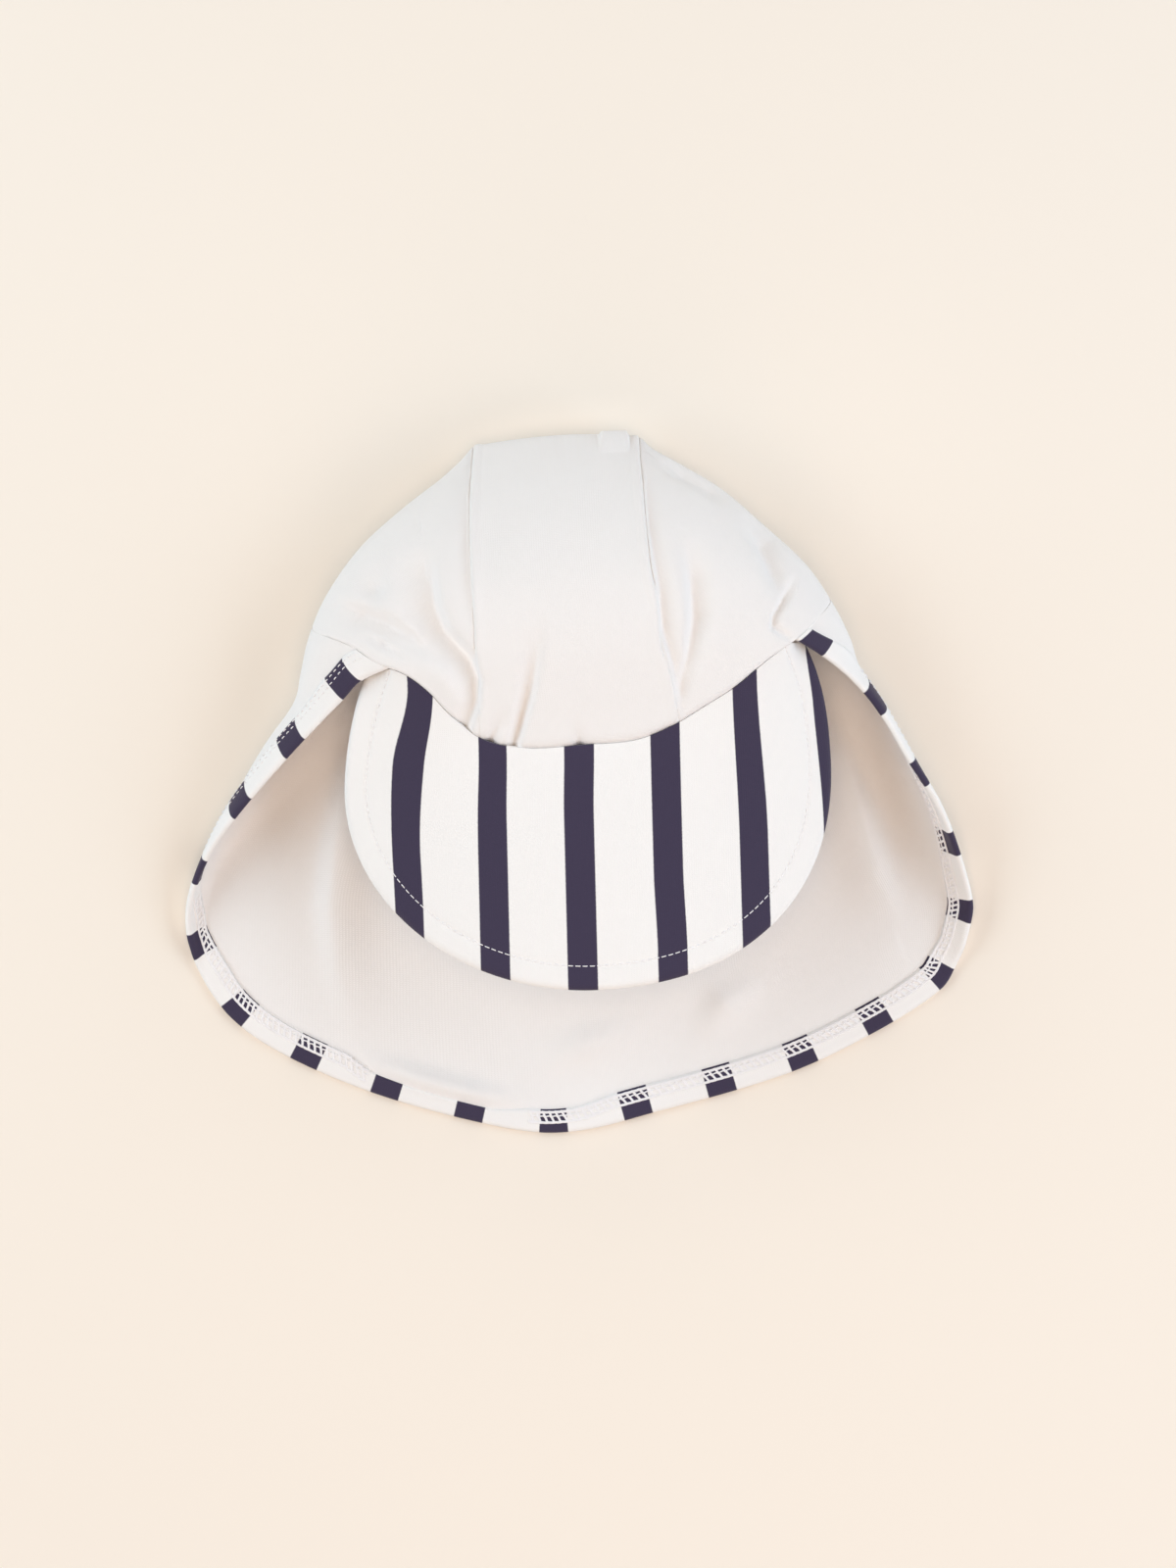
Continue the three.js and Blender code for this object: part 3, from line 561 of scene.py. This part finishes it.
sideRow = rows[:, None] * 0.9995   # the side panels end just short of the folded top
sideColumn = np.linspace(0, 1, crown["sideColumns"] + 1)[None, :] ** 1.15   # closer together in front
crownSides = {}
for sideName, sign in (("left", -1.0), ("right", 1.0)):
    sideGrid = np.full((len(sideRow), sideColumn.shape[1]), sign)

    def sideRule(station):
        section = sectionOf(sideGrid, station)
        seam = np.minimum(section["seam"] + crown["gap"], section["reach"])
        front = frontTurn(section, seam)
        rear = 180 - 90 * np.minimum(seam, section["lower"]) / section["lower"]
        turn = front + (rear - front) * sideColumn
        return turn, distanceAtTurn(section, turn)

    station, turn, distance = crownPlaces(sideGrid, sideRule, sideRow)
    label = "crown" + sideName.capitalize()
    crownSides[sideName] = crownPanel(
        label, "crown_" + sideName, sideGrid, station, turn, distance, sideName)
print("crown panels made")


# Neck flap and its binding are laid out flat and then spread over the body
flap = {
    "wall": 1.0,
    "corner": {"left": 42, "right": 52},   # turn round the head where the flap begins
    "rimGap": 0.03,
    "layoutFoot": 125,
    "leftSteps": (46, 40, 30, 18, 0, -20, -38, -54),
    "rightSteps": (-54, -38, -20, 0, 18, 36),
    "bottom": ((-151, -86), (-110, -113.3), (-60, -132.7), (-22, -141), (20, -135),
               (72, -123.5), (108, -109.6), (138.4, -92.7), (145.2, -83.5), (151, -73.8)),
    "stations": 460,
    "rows": 70,
    "liftRun": 16,
    # soft folds standing up inside: spread of their sides, then points (x, y), half width and height
    "folds": (
        (1.7, 0.8, ((-90, 34, 8, 3), (-97, 8, 8, 5), (-103, -18, 8, 5.2), (-107, -44, 8, 4.6),
                    (-106, -70, 8, 2.6), (-100, -96, 8, 0.4))),
        (0.8, 1.7, ((98, 26, 8, 1.6), (104, 4, 8, 4), (109, -18, 8, 4.6), (114, -42, 8, 3.4),
                    (120, -64, 8, 0.5))),
        (1, 1, ((-28, -113, 6, 0.3), (-8, -106, 6.5, 2.6), (14, -99, 6, 0.3))),
        (1, 1, ((38, -106, 6, 0.3), (50, -93, 6.5, 3), (66, -85, 6, 0.4))),
        (1, 1, ((-100, -105, 4, 0.4), (-77, -115, 4, 3.2), (-56, -122, 4, 3.2), (-36, -127, 4, 0.4))),
    ),
}
binding = {
    "wall": 0.8,
    "width": 12,
    "round": 2.0,
    "pressed": 0.62,       # raw edges are flattened by the stitches, over this run
    "pressedRun": 1.4,
    "snugFrom": 8,         # and close on the flap from here
    "snug": 1.2,
    "slack": 0.08,         # between the strip and the flap inside it
    "end": {"left": 10.5, "right": 6.0},   # how much of each end is caught in the crown's rim
    "endRun": {"left": 14, "right": 26},
    "steps": 9,
    # how far the inside of the strip shows, along the free edge: the flap's cloth laps over it in places
    "inside": ((98, 12), (110, 5.5), (126, 5.5), (142, 11.4), (238, 11.4), (254, 6.8), (276, 5.8),
               (304, 5.4), (320, 9.0), (342, 9.6), (358, 12)),
}
binding["thickness"] = 2 * binding["wall"] + 2 * binding["slack"] + flap["wall"]
flap["lift"] = binding["wall"] + binding["slack"]


# Way round the body for a flat place, and the flat place for a way round the body
def layoutDistance(section, x):
    return x + (section["foot"] - flap["layoutFoot"]) * smoothStep(x, 0, flap["layoutFoot"])


def layoutPoint(side, y, distance):
    section = sectionOf(side, stationOf(y))
    low, high = np.zeros_like(y), np.full_like(y, 3.0 * flap["layoutFoot"])
    for _ in range(40):
        middle = (low + high) / 2
        short = layoutDistance(section, middle) < distance
        low, high = np.where(short, middle, low), np.where(short, high, middle)
    return np.stack((side * low, y), axis=-1)


# Puts flat places on the body, some depth inside its surface
def spread(flat, depth):
    side = np.where(flat[..., 0] < 0, -1.0, 1.0)
    station = stationOf(flat[..., 1])
    distance = layoutDistance(sectionOf(side, station), np.abs(flat[..., 0]))
    point = bodyPoint(side, station, distance)
    depth = depth - foldRelief(point[..., 0], point[..., 1], flap["folds"])
    return point - bodyNormal(side, station, distance) * depth[..., None]


# Smooth curve through flat points, read at a share of its length
def curveThrough(points):
    points = np.asarray(points, float)
    knots = np.concatenate(((0,), np.cumsum(np.linalg.norm(np.diff(points, axis=0), axis=1))))
    at = np.linspace(0, knots[-1], 6001)
    fine = np.stack([smoothThrough(knots, points[:, k], at) for k in (0, 1)], axis=-1)
    length = runLength(fine, 0)

    def read(share):
        return np.stack([np.interp(share * length[-1], length, fine[:, k]) for k in (0, 1)], axis=-1)

    return read, length[-1]


def rimPoints(sign, turns):
    turns = np.asarray(turns, float)
    side = np.full_like(turns, sign)
    y = rimY(side, turns) - flap["rimGap"]
    return layoutPoint(side, y, distanceAtTurn(sectionOf(side, stationOf(y)), turns))


leftTurns = np.arange(flap["corner"]["left"], 180, 6)
rightTurns = np.append(np.arange(180, flap["corner"]["right"], -6), flap["corner"]["right"])
flatRim, rimLength = curveThrough(
    np.concatenate((rimPoints(-1.0, leftTurns), rimPoints(1.0, rightTurns))))


def hemPoints(sign, ys):
    ys = np.asarray(ys, float)
    side = np.full_like(ys, sign)
    return layoutPoint(side, ys, hemDistance(sectionOf(side, stationOf(ys))))


bottom = np.array(flap["bottom"], float)
bottomSide = np.where(bottom[:, 0] < 0, -1.0, 1.0)
flatHem, hemLength = curveThrough(np.concatenate((
    flatRim(np.array([0.0])),
    hemPoints(-1.0, flap["leftSteps"]),
    layoutPoint(bottomSide, bottom[:, 1], np.abs(bottom[:, 0])),
    hemPoints(1.0, flap["rightSteps"]),
    flatRim(np.array([1.0])),
)))
share = np.linspace(0, 1, flap["stations"] + 1)


# Flat step from the free edge straight into the cloth, one millimetre long on the body
def stepInward():
    step = 0.5
    hem = flatHem(share)
    lean = np.where(hem[:, :1] < 0, 1.0, -1.0)
    here = spread(hem, 0.0)
    alongX = (spread(hem + lean * (step, 0), 0.0) - here) * lean / step
    alongY = (spread(hem + (0, step), 0.0) - here) / step
    run = np.gradient(hem, share, axis=0)
    run /= np.linalg.norm(run, axis=1, keepdims=True)
    tangent = alongX * run[:, :1] + alongY * run[:, 1:]
    toward = np.stack((-np.sum(alongY * tangent, 1), np.sum(alongX * tangent, 1)), axis=-1)
    length = np.linalg.norm(alongX * toward[:, :1] + alongY * toward[:, 1:], axis=1)
    turned = run[:, 0] * toward[:, 1] < run[:, 1] * toward[:, 0]
    return toward / np.where(turned, -length, length)[:, None]


inward = stepInward()


# Flat place at a share of the free edge and some way in from it; the ends follow the crown's rim
def edgePlace(at, way):
    at, way = np.broadcast_arrays(np.asarray(at, float), np.asarray(way, float))
    part = way / binding["width"] / rimLength
    first = flatRim(binding["end"]["left"] * part) - flatRim(np.zeros_like(part))
    last = flatRim(1 - binding["end"]["right"] * part) - flatRim(np.ones_like(part))
    caught = np.where(at[..., None] < 0.5, first, last)
    straight = np.stack([np.interp(at, share, inward[:, k]) for k in (0, 1)], axis=-1)
    fromFirst = smoothStep(at * hemLength, 0, binding["endRun"]["left"])
    fromLast = smoothStep((1 - at) * hemLength, 0, binding["endRun"]["right"])
    free = np.minimum(fromFirst, fromLast)[..., None]
    return flatHem(at) + caught * (1 - free) + straight * way[..., None] * free


leftCaught, rightCaught = [binding["end"][k] / rimLength for k in ("left", "right")]
flapRoot = flatRim(leftCaught + (1 - leftCaught - rightCaught) * share)
flapInner = edgePlace(share, binding["width"])
gap = np.linalg.norm(flapRoot - flapInner, axis=1)
flatRows, liftRows = [], []
for place in np.linspace(0, 1, flap["rows"], endpoint=False):
    flatRows.append(flapRoot + (flapInner - flapRoot) * place)
    nearEdge = smoothStep((place - 1) * gap, -flap["liftRun"], 0)
    liftRows.append(flap["lift"] * np.maximum(nearEdge, place ** 6))
for way in np.linspace(binding["width"], binding["wall"] + 2 * binding["slack"], binding["steps"]):
    flatRows.append(edgePlace(share, way))
    liftRows.append(np.full(len(share), flap["lift"]))
flapFlat = np.stack(flatRows, axis=1)
flapLift = np.stack(liftRows, axis=1)
neckFlap = wallPiece("neckFlap", spread(flapFlat, flapLift), spread(flapFlat, flapLift + flap["wall"]),
                     flapFlat, whiteJersey)
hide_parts("neck_flap")

hemRun = runLength(spread(flatHem(share), 0.0), 0)   # millimetres along the free edge


# Outline of the folded strip: way in from the fold and depth from its outside
def stripOutline():
    legs = np.linspace(binding["width"], binding["round"], binding["steps"])
    middle = binding["thickness"] / 2
    bend = np.linspace(0, math.pi, 9)[1:-1]
    inside = np.linspace(binding["wall"], binding["width"], 6)
    pressed = binding["pressed"] * smoothStep(
        legs, binding["width"] - binding["pressedRun"], binding["width"])
    outline = list(zip(legs, pressed))
    outline += [(binding["round"] * (1 - math.sin(a)), middle * (1 - math.cos(a))) for a in bend]
    outline += list(zip(legs[::-1], binding["thickness"] - pressed[::-1]))
    closing = smoothStep(inside, binding["snugFrom"], binding["width"])
    snug = binding["wall"] + binding["snug"] * binding["slack"] * closing
    outline += list(zip(inside[::-1], binding["thickness"] - snug[::-1]))
    outline += list(zip(inside, snug))
    return np.array(outline)


# How wide the inside of the strip is at a place along the free edge
def insideWidth(run):
    return np.interp(run, *np.array(binding["inside"], float).T)


outline = stripOutline()
inLeg = (outline[:, 1] > binding["thickness"] / 2) & (outline[:, 0] > binding["round"])
drawnIn = insideWidth(hemRun)[:, None] / binding["width"]
shortened = binding["round"] + (outline[:, 0] - binding["round"]) * drawnIn
outlineWay = np.where(inLeg, shortened, outline[:, 0])
outlineDepth = np.broadcast_to(outline[:, 1], outlineWay.shape)
ring = spread(edgePlace(share[:, None], outlineWay), outlineDepth)
# The strip's own run counts whole stripes, so that they fall where the strip was sewn on
inRow, apart = zip(*bindingStripes["sewn"])
middles = bindingStripes["before"] + np.concatenate(((0,), np.cumsum(np.repeat(apart, inRow))))
stripeRun = np.interp(hemRun, middles, bindingStripes["pitch"] * np.arange(len(middles)))
ringUv = np.stack(np.broadcast_arrays(stripeRun[:, None], runLength(outline, 0)[None, :]), axis=-1)
count = len(outline)
stripFaces = []
for i in range(len(share) - 1):
    for k in range(count):
        p, q = i * count + k, i * count + (k + 1) % count
        stripFaces.append((p, q, q + count, p + count))
stripFaces.append(tuple(range(count - 1, -1, -1)))
stripFaces.append(tuple(range(len(share) * count - count, len(share) * count)))
flapBinding = meshPiece("flapBinding", ring.reshape(-1, 3), stripFaces, ringUv.reshape(-1, 2), stripedStrip)
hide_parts("flap_binding")
print("flap and binding made, edge", round(hemRun[-1]), "mm")


# Padded peak, a board of foam between two layers of cloth
peak = {
    "middle": (0.1, 8.7),
    "halfWidth": 96.4,
    "depth": 88.5,
    # widest place, reach behind and before it, and how full the outline is there
    "outline": {"left": (-0.5, 128.0, 79.3, 1.7, 1.96), "right": (8.7, 88.5, 88.5, 2.3, 2.3)},
    "thickness": 4.0,
    "edgeRound": 3.0,
    "sunk": 0.6,
    "gap": 0.1,
    "corner": {"left": 51, "right": 50},
    "cornerLift": {"left": 5.0, "right": 3.5},     # corners are drawn up to the flap's ends
    "cornerRun": 0.13,        # share of the edge over which they come down again
    "rootTurn": {"left": 41, "right": 50},
    "rootHeight": 55,
    "tipHeight": 62,
    "sideDrop": 0.0019,
    "columns": 220,
    "rows": 90,
    "edgeLeast": 0.15,        # share of the thickness left at the very edge
    "stitchIn": 9.4,          # topstitch, in from the edge
    "stitchDip": 0.35,
    "stitchRun": 0.9,
    "stripeLean": 0.041,
    "leanFrom": -20,
    # stripes draw together towards the forehead: by how much, and from where to where out from the middle
    "gather": {"left": (6.8, 34, 66), "leftBack": (0.9, 66, 86), "right": (4.7, 40, 82),
               "rightBack": (0.9, 70, 90), "along": (-25, 48)},
    # the last one on the right goes its own way: shift in front, change behind, and where along
    "outermost": {"shift": 1.2, "change": 1.8, "across": (70, 90), "along": (26, 52)},
    # and three stretches across bend a little: how far left the cloth is drawn at the front there,
    # and how much farther from one place along to another
    "bends": (
        {"across": (-120, -54), "front": 0.8, "changes": ((1.7, -55, 12), (-2.9, 12, 42))},
        {"across": (-54, 13), "front": 0.7, "changes": ((-0.7, -12, 16),)},
        {"across": (13, 47), "front": -0.4, "changes": ((0.8, -66, -35),)},
    ),
    "bendFade": 10.5,         # half of the way over which each fades out at its sides
}


# Free edge of the peak from its left corner round to the right one
def peakEdge(part):
    def pick(k):
        return np.where(c < 0, peak["outline"]["left"][k], peak["outline"]["right"][k])

    def cornerAngle(side):
        widest, behind = peak["outline"][side][:2]
        return math.asin((peak["corner"][side] - widest) / behind)

    first, last = cornerAngle("left"), cornerAngle("right")
    angle = math.pi - first + (math.pi + first + last) * part
    c, s = np.cos(angle), np.sin(angle)
    depth = np.where(s > 0, pick(1), pick(2))
    power = np.where(s > 0, pick(3), pick(4))
    wide = np.sign(c) * (1 - np.abs(s) ** power) ** (1 / power)
    return peak["middle"][0] + peak["halfWidth"] * wide, pick(0) + depth * s


def peakHeight(x, y):
    mx, my = peak["middle"]
    forward = (my - y) / peak["depth"]
    arch = peak["sideDrop"] * (x - mx) ** 2
    ridge = peak["rootHeight"] + (peak["tipHeight"] - peak["rootHeight"]) * forward
    return ridge - arch - peak["thickness"] / 2


peakPart = np.linspace(0, 1, peak["columns"] + 1)
peakTurn = -peak["rootTurn"]["left"] + sum(peak["rootTurn"].values()) * peakPart
peakSide = np.where(peakTurn < 0, -1.0, 1.0)
rimStation = stationOf(rimY(peakSide, np.abs(peakTurn)))
rimDistance = distanceAtTurn(sectionOf(peakSide, rimStation), np.abs(peakTurn))
rimPoint = bodyPoint(peakSide, rimStation, rimDistance)
rimNormal = bodyNormal(peakSide, rimStation, rimDistance)
ahead = bodyPoint(peakSide, rimStation - 0.05, rimDistance) - rimPoint
ahead /= np.linalg.norm(ahead, axis=1, keepdims=True)
peakRoot = rimPoint + ahead * peak["gap"] - rimNormal * (peak["sunk"] + peak["thickness"] / 2)
edgeX, edgeY = peakEdge(peakPart)
reach = np.hypot(edgeX - peakRoot[:, 0], edgeY - peakRoot[:, 1])[:, None]
way = np.sin(np.linspace(0, math.pi / 2, peak["rows"] + 1))[None, :]   # closer together at the edge
peakX = peakRoot[:, :1] * (1 - way) + edgeX[:, None] * way
peakY = peakRoot[:, 1:2] * (1 - way) + edgeY[:, None] * way
settle = (peakRoot[:, 2] - peakHeight(peakRoot[:, 0], peakRoot[:, 1]))[:, None] * (1 - way) ** 2
drawn = peak["cornerLift"]["left"] * (1 - smoothStep(peakPart, 0, peak["cornerRun"]))
drawn = drawn + peak["cornerLift"]["right"] * smoothStep(peakPart, 1 - peak["cornerRun"], 1)
peakMiddle = np.stack((peakX, peakY, peakHeight(peakX, peakY) + settle + drawn[:, None] * way), axis=-1)
edgeRun = np.stack((np.gradient(edgeX), np.gradient(edgeY)), axis=-1)
edgeRun /= np.linalg.norm(edgeRun, axis=1, keepdims=True)
outX, outY = (edgeX - peakRoot[:, 0]) / reach[:, 0], (edgeY - peakRoot[:, 1]) / reach[:, 0]
# the grid's columns meet the edge aslant
square = np.maximum(np.abs(outX * edgeRun[:, 1] - outY * edgeRun[:, 0]), 0.4)
fromEdge = (1 - way) * reach * square[:, None]
t = np.clip(fromEdge / peak["edgeRound"], 0, 1)
half = peak["thickness"] / 2 * np.maximum(np.sqrt(1 - (1 - t) ** 2), peak["edgeLeast"])
half = half - peak["stitchDip"] * np.exp(-((fromEdge - peak["stitchIn"]) / peak["stitchRun"]) ** 2)
upward = np.array((0, 0, 1.0)) + (rimNormal[:, None, :] - (0, 0, 1.0)) * ((1 - way) ** 4)[..., None]
upward /= np.linalg.norm(upward, axis=-1, keepdims=True)


# Way across the arched cloth from the middle
def archRun(sideways):
    slope = 2 * peak["sideDrop"]
    return 0.5 * (sideways * np.sqrt(1 + (slope * sideways) ** 2) + np.arcsinh(slope * sideways) / slope)


# How far the stripes are shifted there
def stripeShift(x, y):
    def ramp(key):
        amount, start, end = peak["gather"][key]
        return amount * smoothStep(np.abs(sideways), start, end)

    sideways = x - peak["middle"][0]
    onLeft = -ramp("left") * (1 - ramp("leftBack"))
    onRight = ramp("right") - ramp("rightBack")
    shift = np.where(sideways < 0, onLeft, onRight) * smoothStep(y, *peak["gather"]["along"])
    last = peak["outermost"]
    shift -= ((last["shift"] - last["change"] * smoothStep(y, *last["along"]))
              * smoothStep(sideways, *last["across"]))
    fade = peak["bendFade"]
    for bend in peak["bends"]:
        west, east = bend["across"]
        left = bend["front"] + sum(more * smoothStep(y, start, end) for more, start, end in bend["changes"])
        shift += left * smoothStep(x, west - fade, west + fade) * (1 - smoothStep(x, east - fade, east + fade))
    return shift - peak["stripeLean"] * (y - peak["leanFrom"])


peakUv = np.stack((archRun(peakX - peak["middle"][0]) + stripeShift(peakX, peakY), peakY), axis=-1)
peakTop = peakMiddle + upward * half[..., None]
peakPiece = wallPiece("peakPad", peakTop, peakMiddle - upward * half[..., None], peakUv, stripedJersey)
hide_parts("peak")
print("peak made")


# Topstitch on the peak and needle rows on the strip
stitches = {
    "pitch": 2.8,
    "dash": 1.8,
    "radius": 0.22,
    "arch": (0.9, 1.6),           # rise in the middle and drop at the ends, in thread radii
    "needleRows": (1.8, 4.2),     # in from the strip's raw edge
    "needleDash": 1.3,
    "needleEnd": 24,              # rows run under the crown's seam before the right end
}


# Dashes along a line of points: each arches out of the cloth and dips back in
def dashes(line, outward, dash):
    length = runLength(line, 0)
    pitch, (rise, drop) = stitches["pitch"], stitches["arch"]
    runs = []
    for start in np.arange(pitch / 2, length[-1] - pitch, pitch):
        at = np.linspace(start, start + dash, 6)
        middle = np.stack([np.interp(at, length, line[:, k]) for k in range(3)], axis=-1)
        out = np.stack([np.interp(at, length, outward[:, k]) for k in range(3)], axis=-1)
        height = stitches["radius"] * (rise - drop * (2 * (at - start) / dash - 1) ** 4)
        runs.append(middle + out * height[:, None])
    return runs


stitchWay = np.clip(1 - peak["stitchIn"] / reach[:, 0] / square, 0, 1)
index = np.array([np.interp(w, way[0], np.arange(way.shape[1])) for w in stitchWay])
low = np.floor(index).astype(int)
mix = (index - low)[:, None]
columns = np.arange(len(low))
following = np.minimum(low + 1, way.shape[1] - 1)
stitchLine = peakTop[columns, low] * (1 - mix) + peakTop[columns, following] * mix
peakRuns = dashes(stitchLine, upward[columns, low], stitches["dash"])
peakStitch = threadPiece("peakTopstitch", peakRuns, stitches["radius"], whiteThread)

needleShare = share * (1 - stitches["needleEnd"] / hemRun[-1])
needleRuns = []
for inset in stitches["needleRows"]:
    line = edgePlace(needleShare, binding["width"] - inset)
    outside = spread(line, np.zeros_like(needleShare))
    outward = outside - spread(line, np.ones_like(needleShare))
    needleRuns += dashes(outside, outward, stitches["needleDash"])
needleThread = threadPiece("bindingNeedleThread", needleRuns, stitches["radius"], whiteThread)


# Looper side of the cover stitch: two double rails with slanting loops between them and a short bridge
chain = {
    "pitch": 2.9,
    "radius": 0.3,
    "rails": (0.95, 1.45, 5.2, 5.65),      # in from the strip's raw edge
    "loop": ((0.0, 1.2), (0.6, 2.4), (1.4, 3.8), (2.1, 5.3)),
    "loopApart": 0.45,
    "bridge": ((0.7, 3.35), (1.7, 3.0), (2.9, 2.75), (3.6, 2.9)),
    "railLap": 0.4,          # each length of rail laps over the next
    "railBow": 0.12,
    "rise": 0.5,             # in thread radii
    "ends": (1.0, 3.5),      # left free at the ends of the strip
    "least": 8.5,            # where less of the strip's inside shows, the chain is hidden
    "lap": 0.6,              # it stands a little past the raw edge
}
starts = np.arange(chain["ends"][0], hemRun[-1] - chain["ends"][1], chain["pitch"])
starts = starts[insideWidth(starts) > chain["least"]]
thirds = np.linspace(0, 1, 4)
railRun = thirds * (chain["pitch"] + chain["railLap"]) - chain["railLap"] / 2
railBow = chain["railBow"] * np.sin(math.pi * thirds)
loops = [np.array(chain["loop"]) + (shift, 0) for shift in (0.0, chain["loopApart"])]
loops.append(np.array(chain["bridge"]))
loops += [np.stack((railRun, inset + railBow), axis=-1) for inset in chain["rails"]]
loops = np.array(loops)[None]
chainAt = np.interp(starts[:, None, None] + loops[..., 0], hemRun, share)
rawEdge = np.minimum(insideWidth(starts) + chain["lap"], binding["width"])
chainWay = rawEdge[:, None, None] - loops[..., 1]
chainRise = np.sin(math.pi * (0.05 + 0.9 * thirds)) * chain["radius"] * chain["rise"]
chainDepth = np.broadcast_to(binding["thickness"] + chainRise, chainWay.shape)
chainRuns = spread(edgePlace(chainAt, chainWay), chainDepth).reshape(-1, len(thirds), 3)
looperThread = threadPiece("bindingLooperThread", chainRuns, chain["radius"], whiteThread)
print("thread made")


def halfSurface(piece):
    return sum(face.area for face in piece.data.polygons) / 2


for piece in (crownCentre, crownSides["left"], crownSides["right"], neckFlap, flapBinding):
    print(piece.name, "half surface", round(halfSurface(piece), 5), "square metres")


# Floor and soft light
studio = {
    "floor": "#F4EBDF",
    "floorSize": 6.0,
    "floorDrop": 0.0003,     # the floor lies just under the hat
    "sky": "#FFF4EA",
    "skyStrength": 0.022,
    # place in metres, width and height, power and colour of each soft box: cool at the sides, warm above
    "boxes": {
        "leftBox": ((-1.42, 0.42, 0.9), (1.8, 1.2), 22.7, "#DFF2FF"),
        "rightBox": ((1.45, 0.05, 0.9), (2.4, 1.2), 25.8, "#DDEFFF"),
        "frontBox": ((0.0, -1.6, 1.0), (1.2, 1.2), 11.6, "#FFEADC"),
        "overhead": ((0.0, -0.15, 1.9), (1.0, 1.0), 12.6, "#FFE2C8"),
        "rearBox": ((0.0, 1.6, 0.8), (2.4, 0.6), 6.0, "#FFF6EC"),
    },
}

floorMesh = bpy.data.meshes.new("paleFloor")
reachOut = studio["floorSize"] / 2
floorCorners = [(sx * reachOut, sy * reachOut, -studio["floorDrop"])
                for sx, sy in ((-1, -1), (1, -1), (1, 1), (-1, 1))]
floorMesh.from_pydata(floorCorners, [], [(0, 1, 2, 3)])
floor = bpy.data.objects.new("paleFloor", floorMesh)
bpy.context.scene.collection.objects.link(floor)
board, _, boardShader = newMaterial("mattPaintedBoard")   # rolled matt paint: dead flat, no gloss
boardShader.inputs["Base Color"].default_value = linear(studio["floor"])
boardShader.inputs["Roughness"].default_value = 0.95
boardShader.inputs["Specular IOR Level"].default_value = 0.1
floorMesh.materials.append(board)

world = bpy.data.worlds.new("warmRoom")
bpy.context.scene.world = world
world.use_nodes = True
world.node_tree.nodes["Background"].inputs[0].default_value = linear(studio["sky"])
world.node_tree.nodes["Background"].inputs[1].default_value = studio["skyStrength"]

for name, (place, size, power, colour) in studio["boxes"].items():
    box = bpy.data.lights.new(name, "AREA")
    box.shape = "RECTANGLE"
    box.size, box.size_y = size
    box.energy = power
    box.color = linear(colour)[:3]
    boxObject = bpy.data.objects.new(name, box)
    boxObject.location = place
    boxObject.rotation_euler = mathutils.Vector(place).to_track_quat("Z", "Y").to_euler()
    boxObject.visible_camera = False
    bpy.context.scene.collection.objects.link(boxObject)

# Camera straight above; the picture is 1600 pixels high
cameraView = {"height": 1150.0, "turn": 3.8, "focalPixels": 2875.0, "framePixels": 1600.0, "sensor": 36.0}
lens = bpy.data.cameras.new("overheadCamera")
lens.sensor_width = cameraView["sensor"]
lens.lens = cameraView["sensor"] * cameraView["focalPixels"] / cameraView["framePixels"]
camera = bpy.data.objects.new("overheadCamera", lens)
camera.location = metres((0, 0, cameraView["height"]))
camera.rotation_euler = (0, 0, -math.radians(cameraView["turn"]))
bpy.context.scene.collection.objects.link(camera)
bpy.context.scene.camera = camera
bpy.context.scene.view_settings.view_transform = "Standard"
print("studio set")
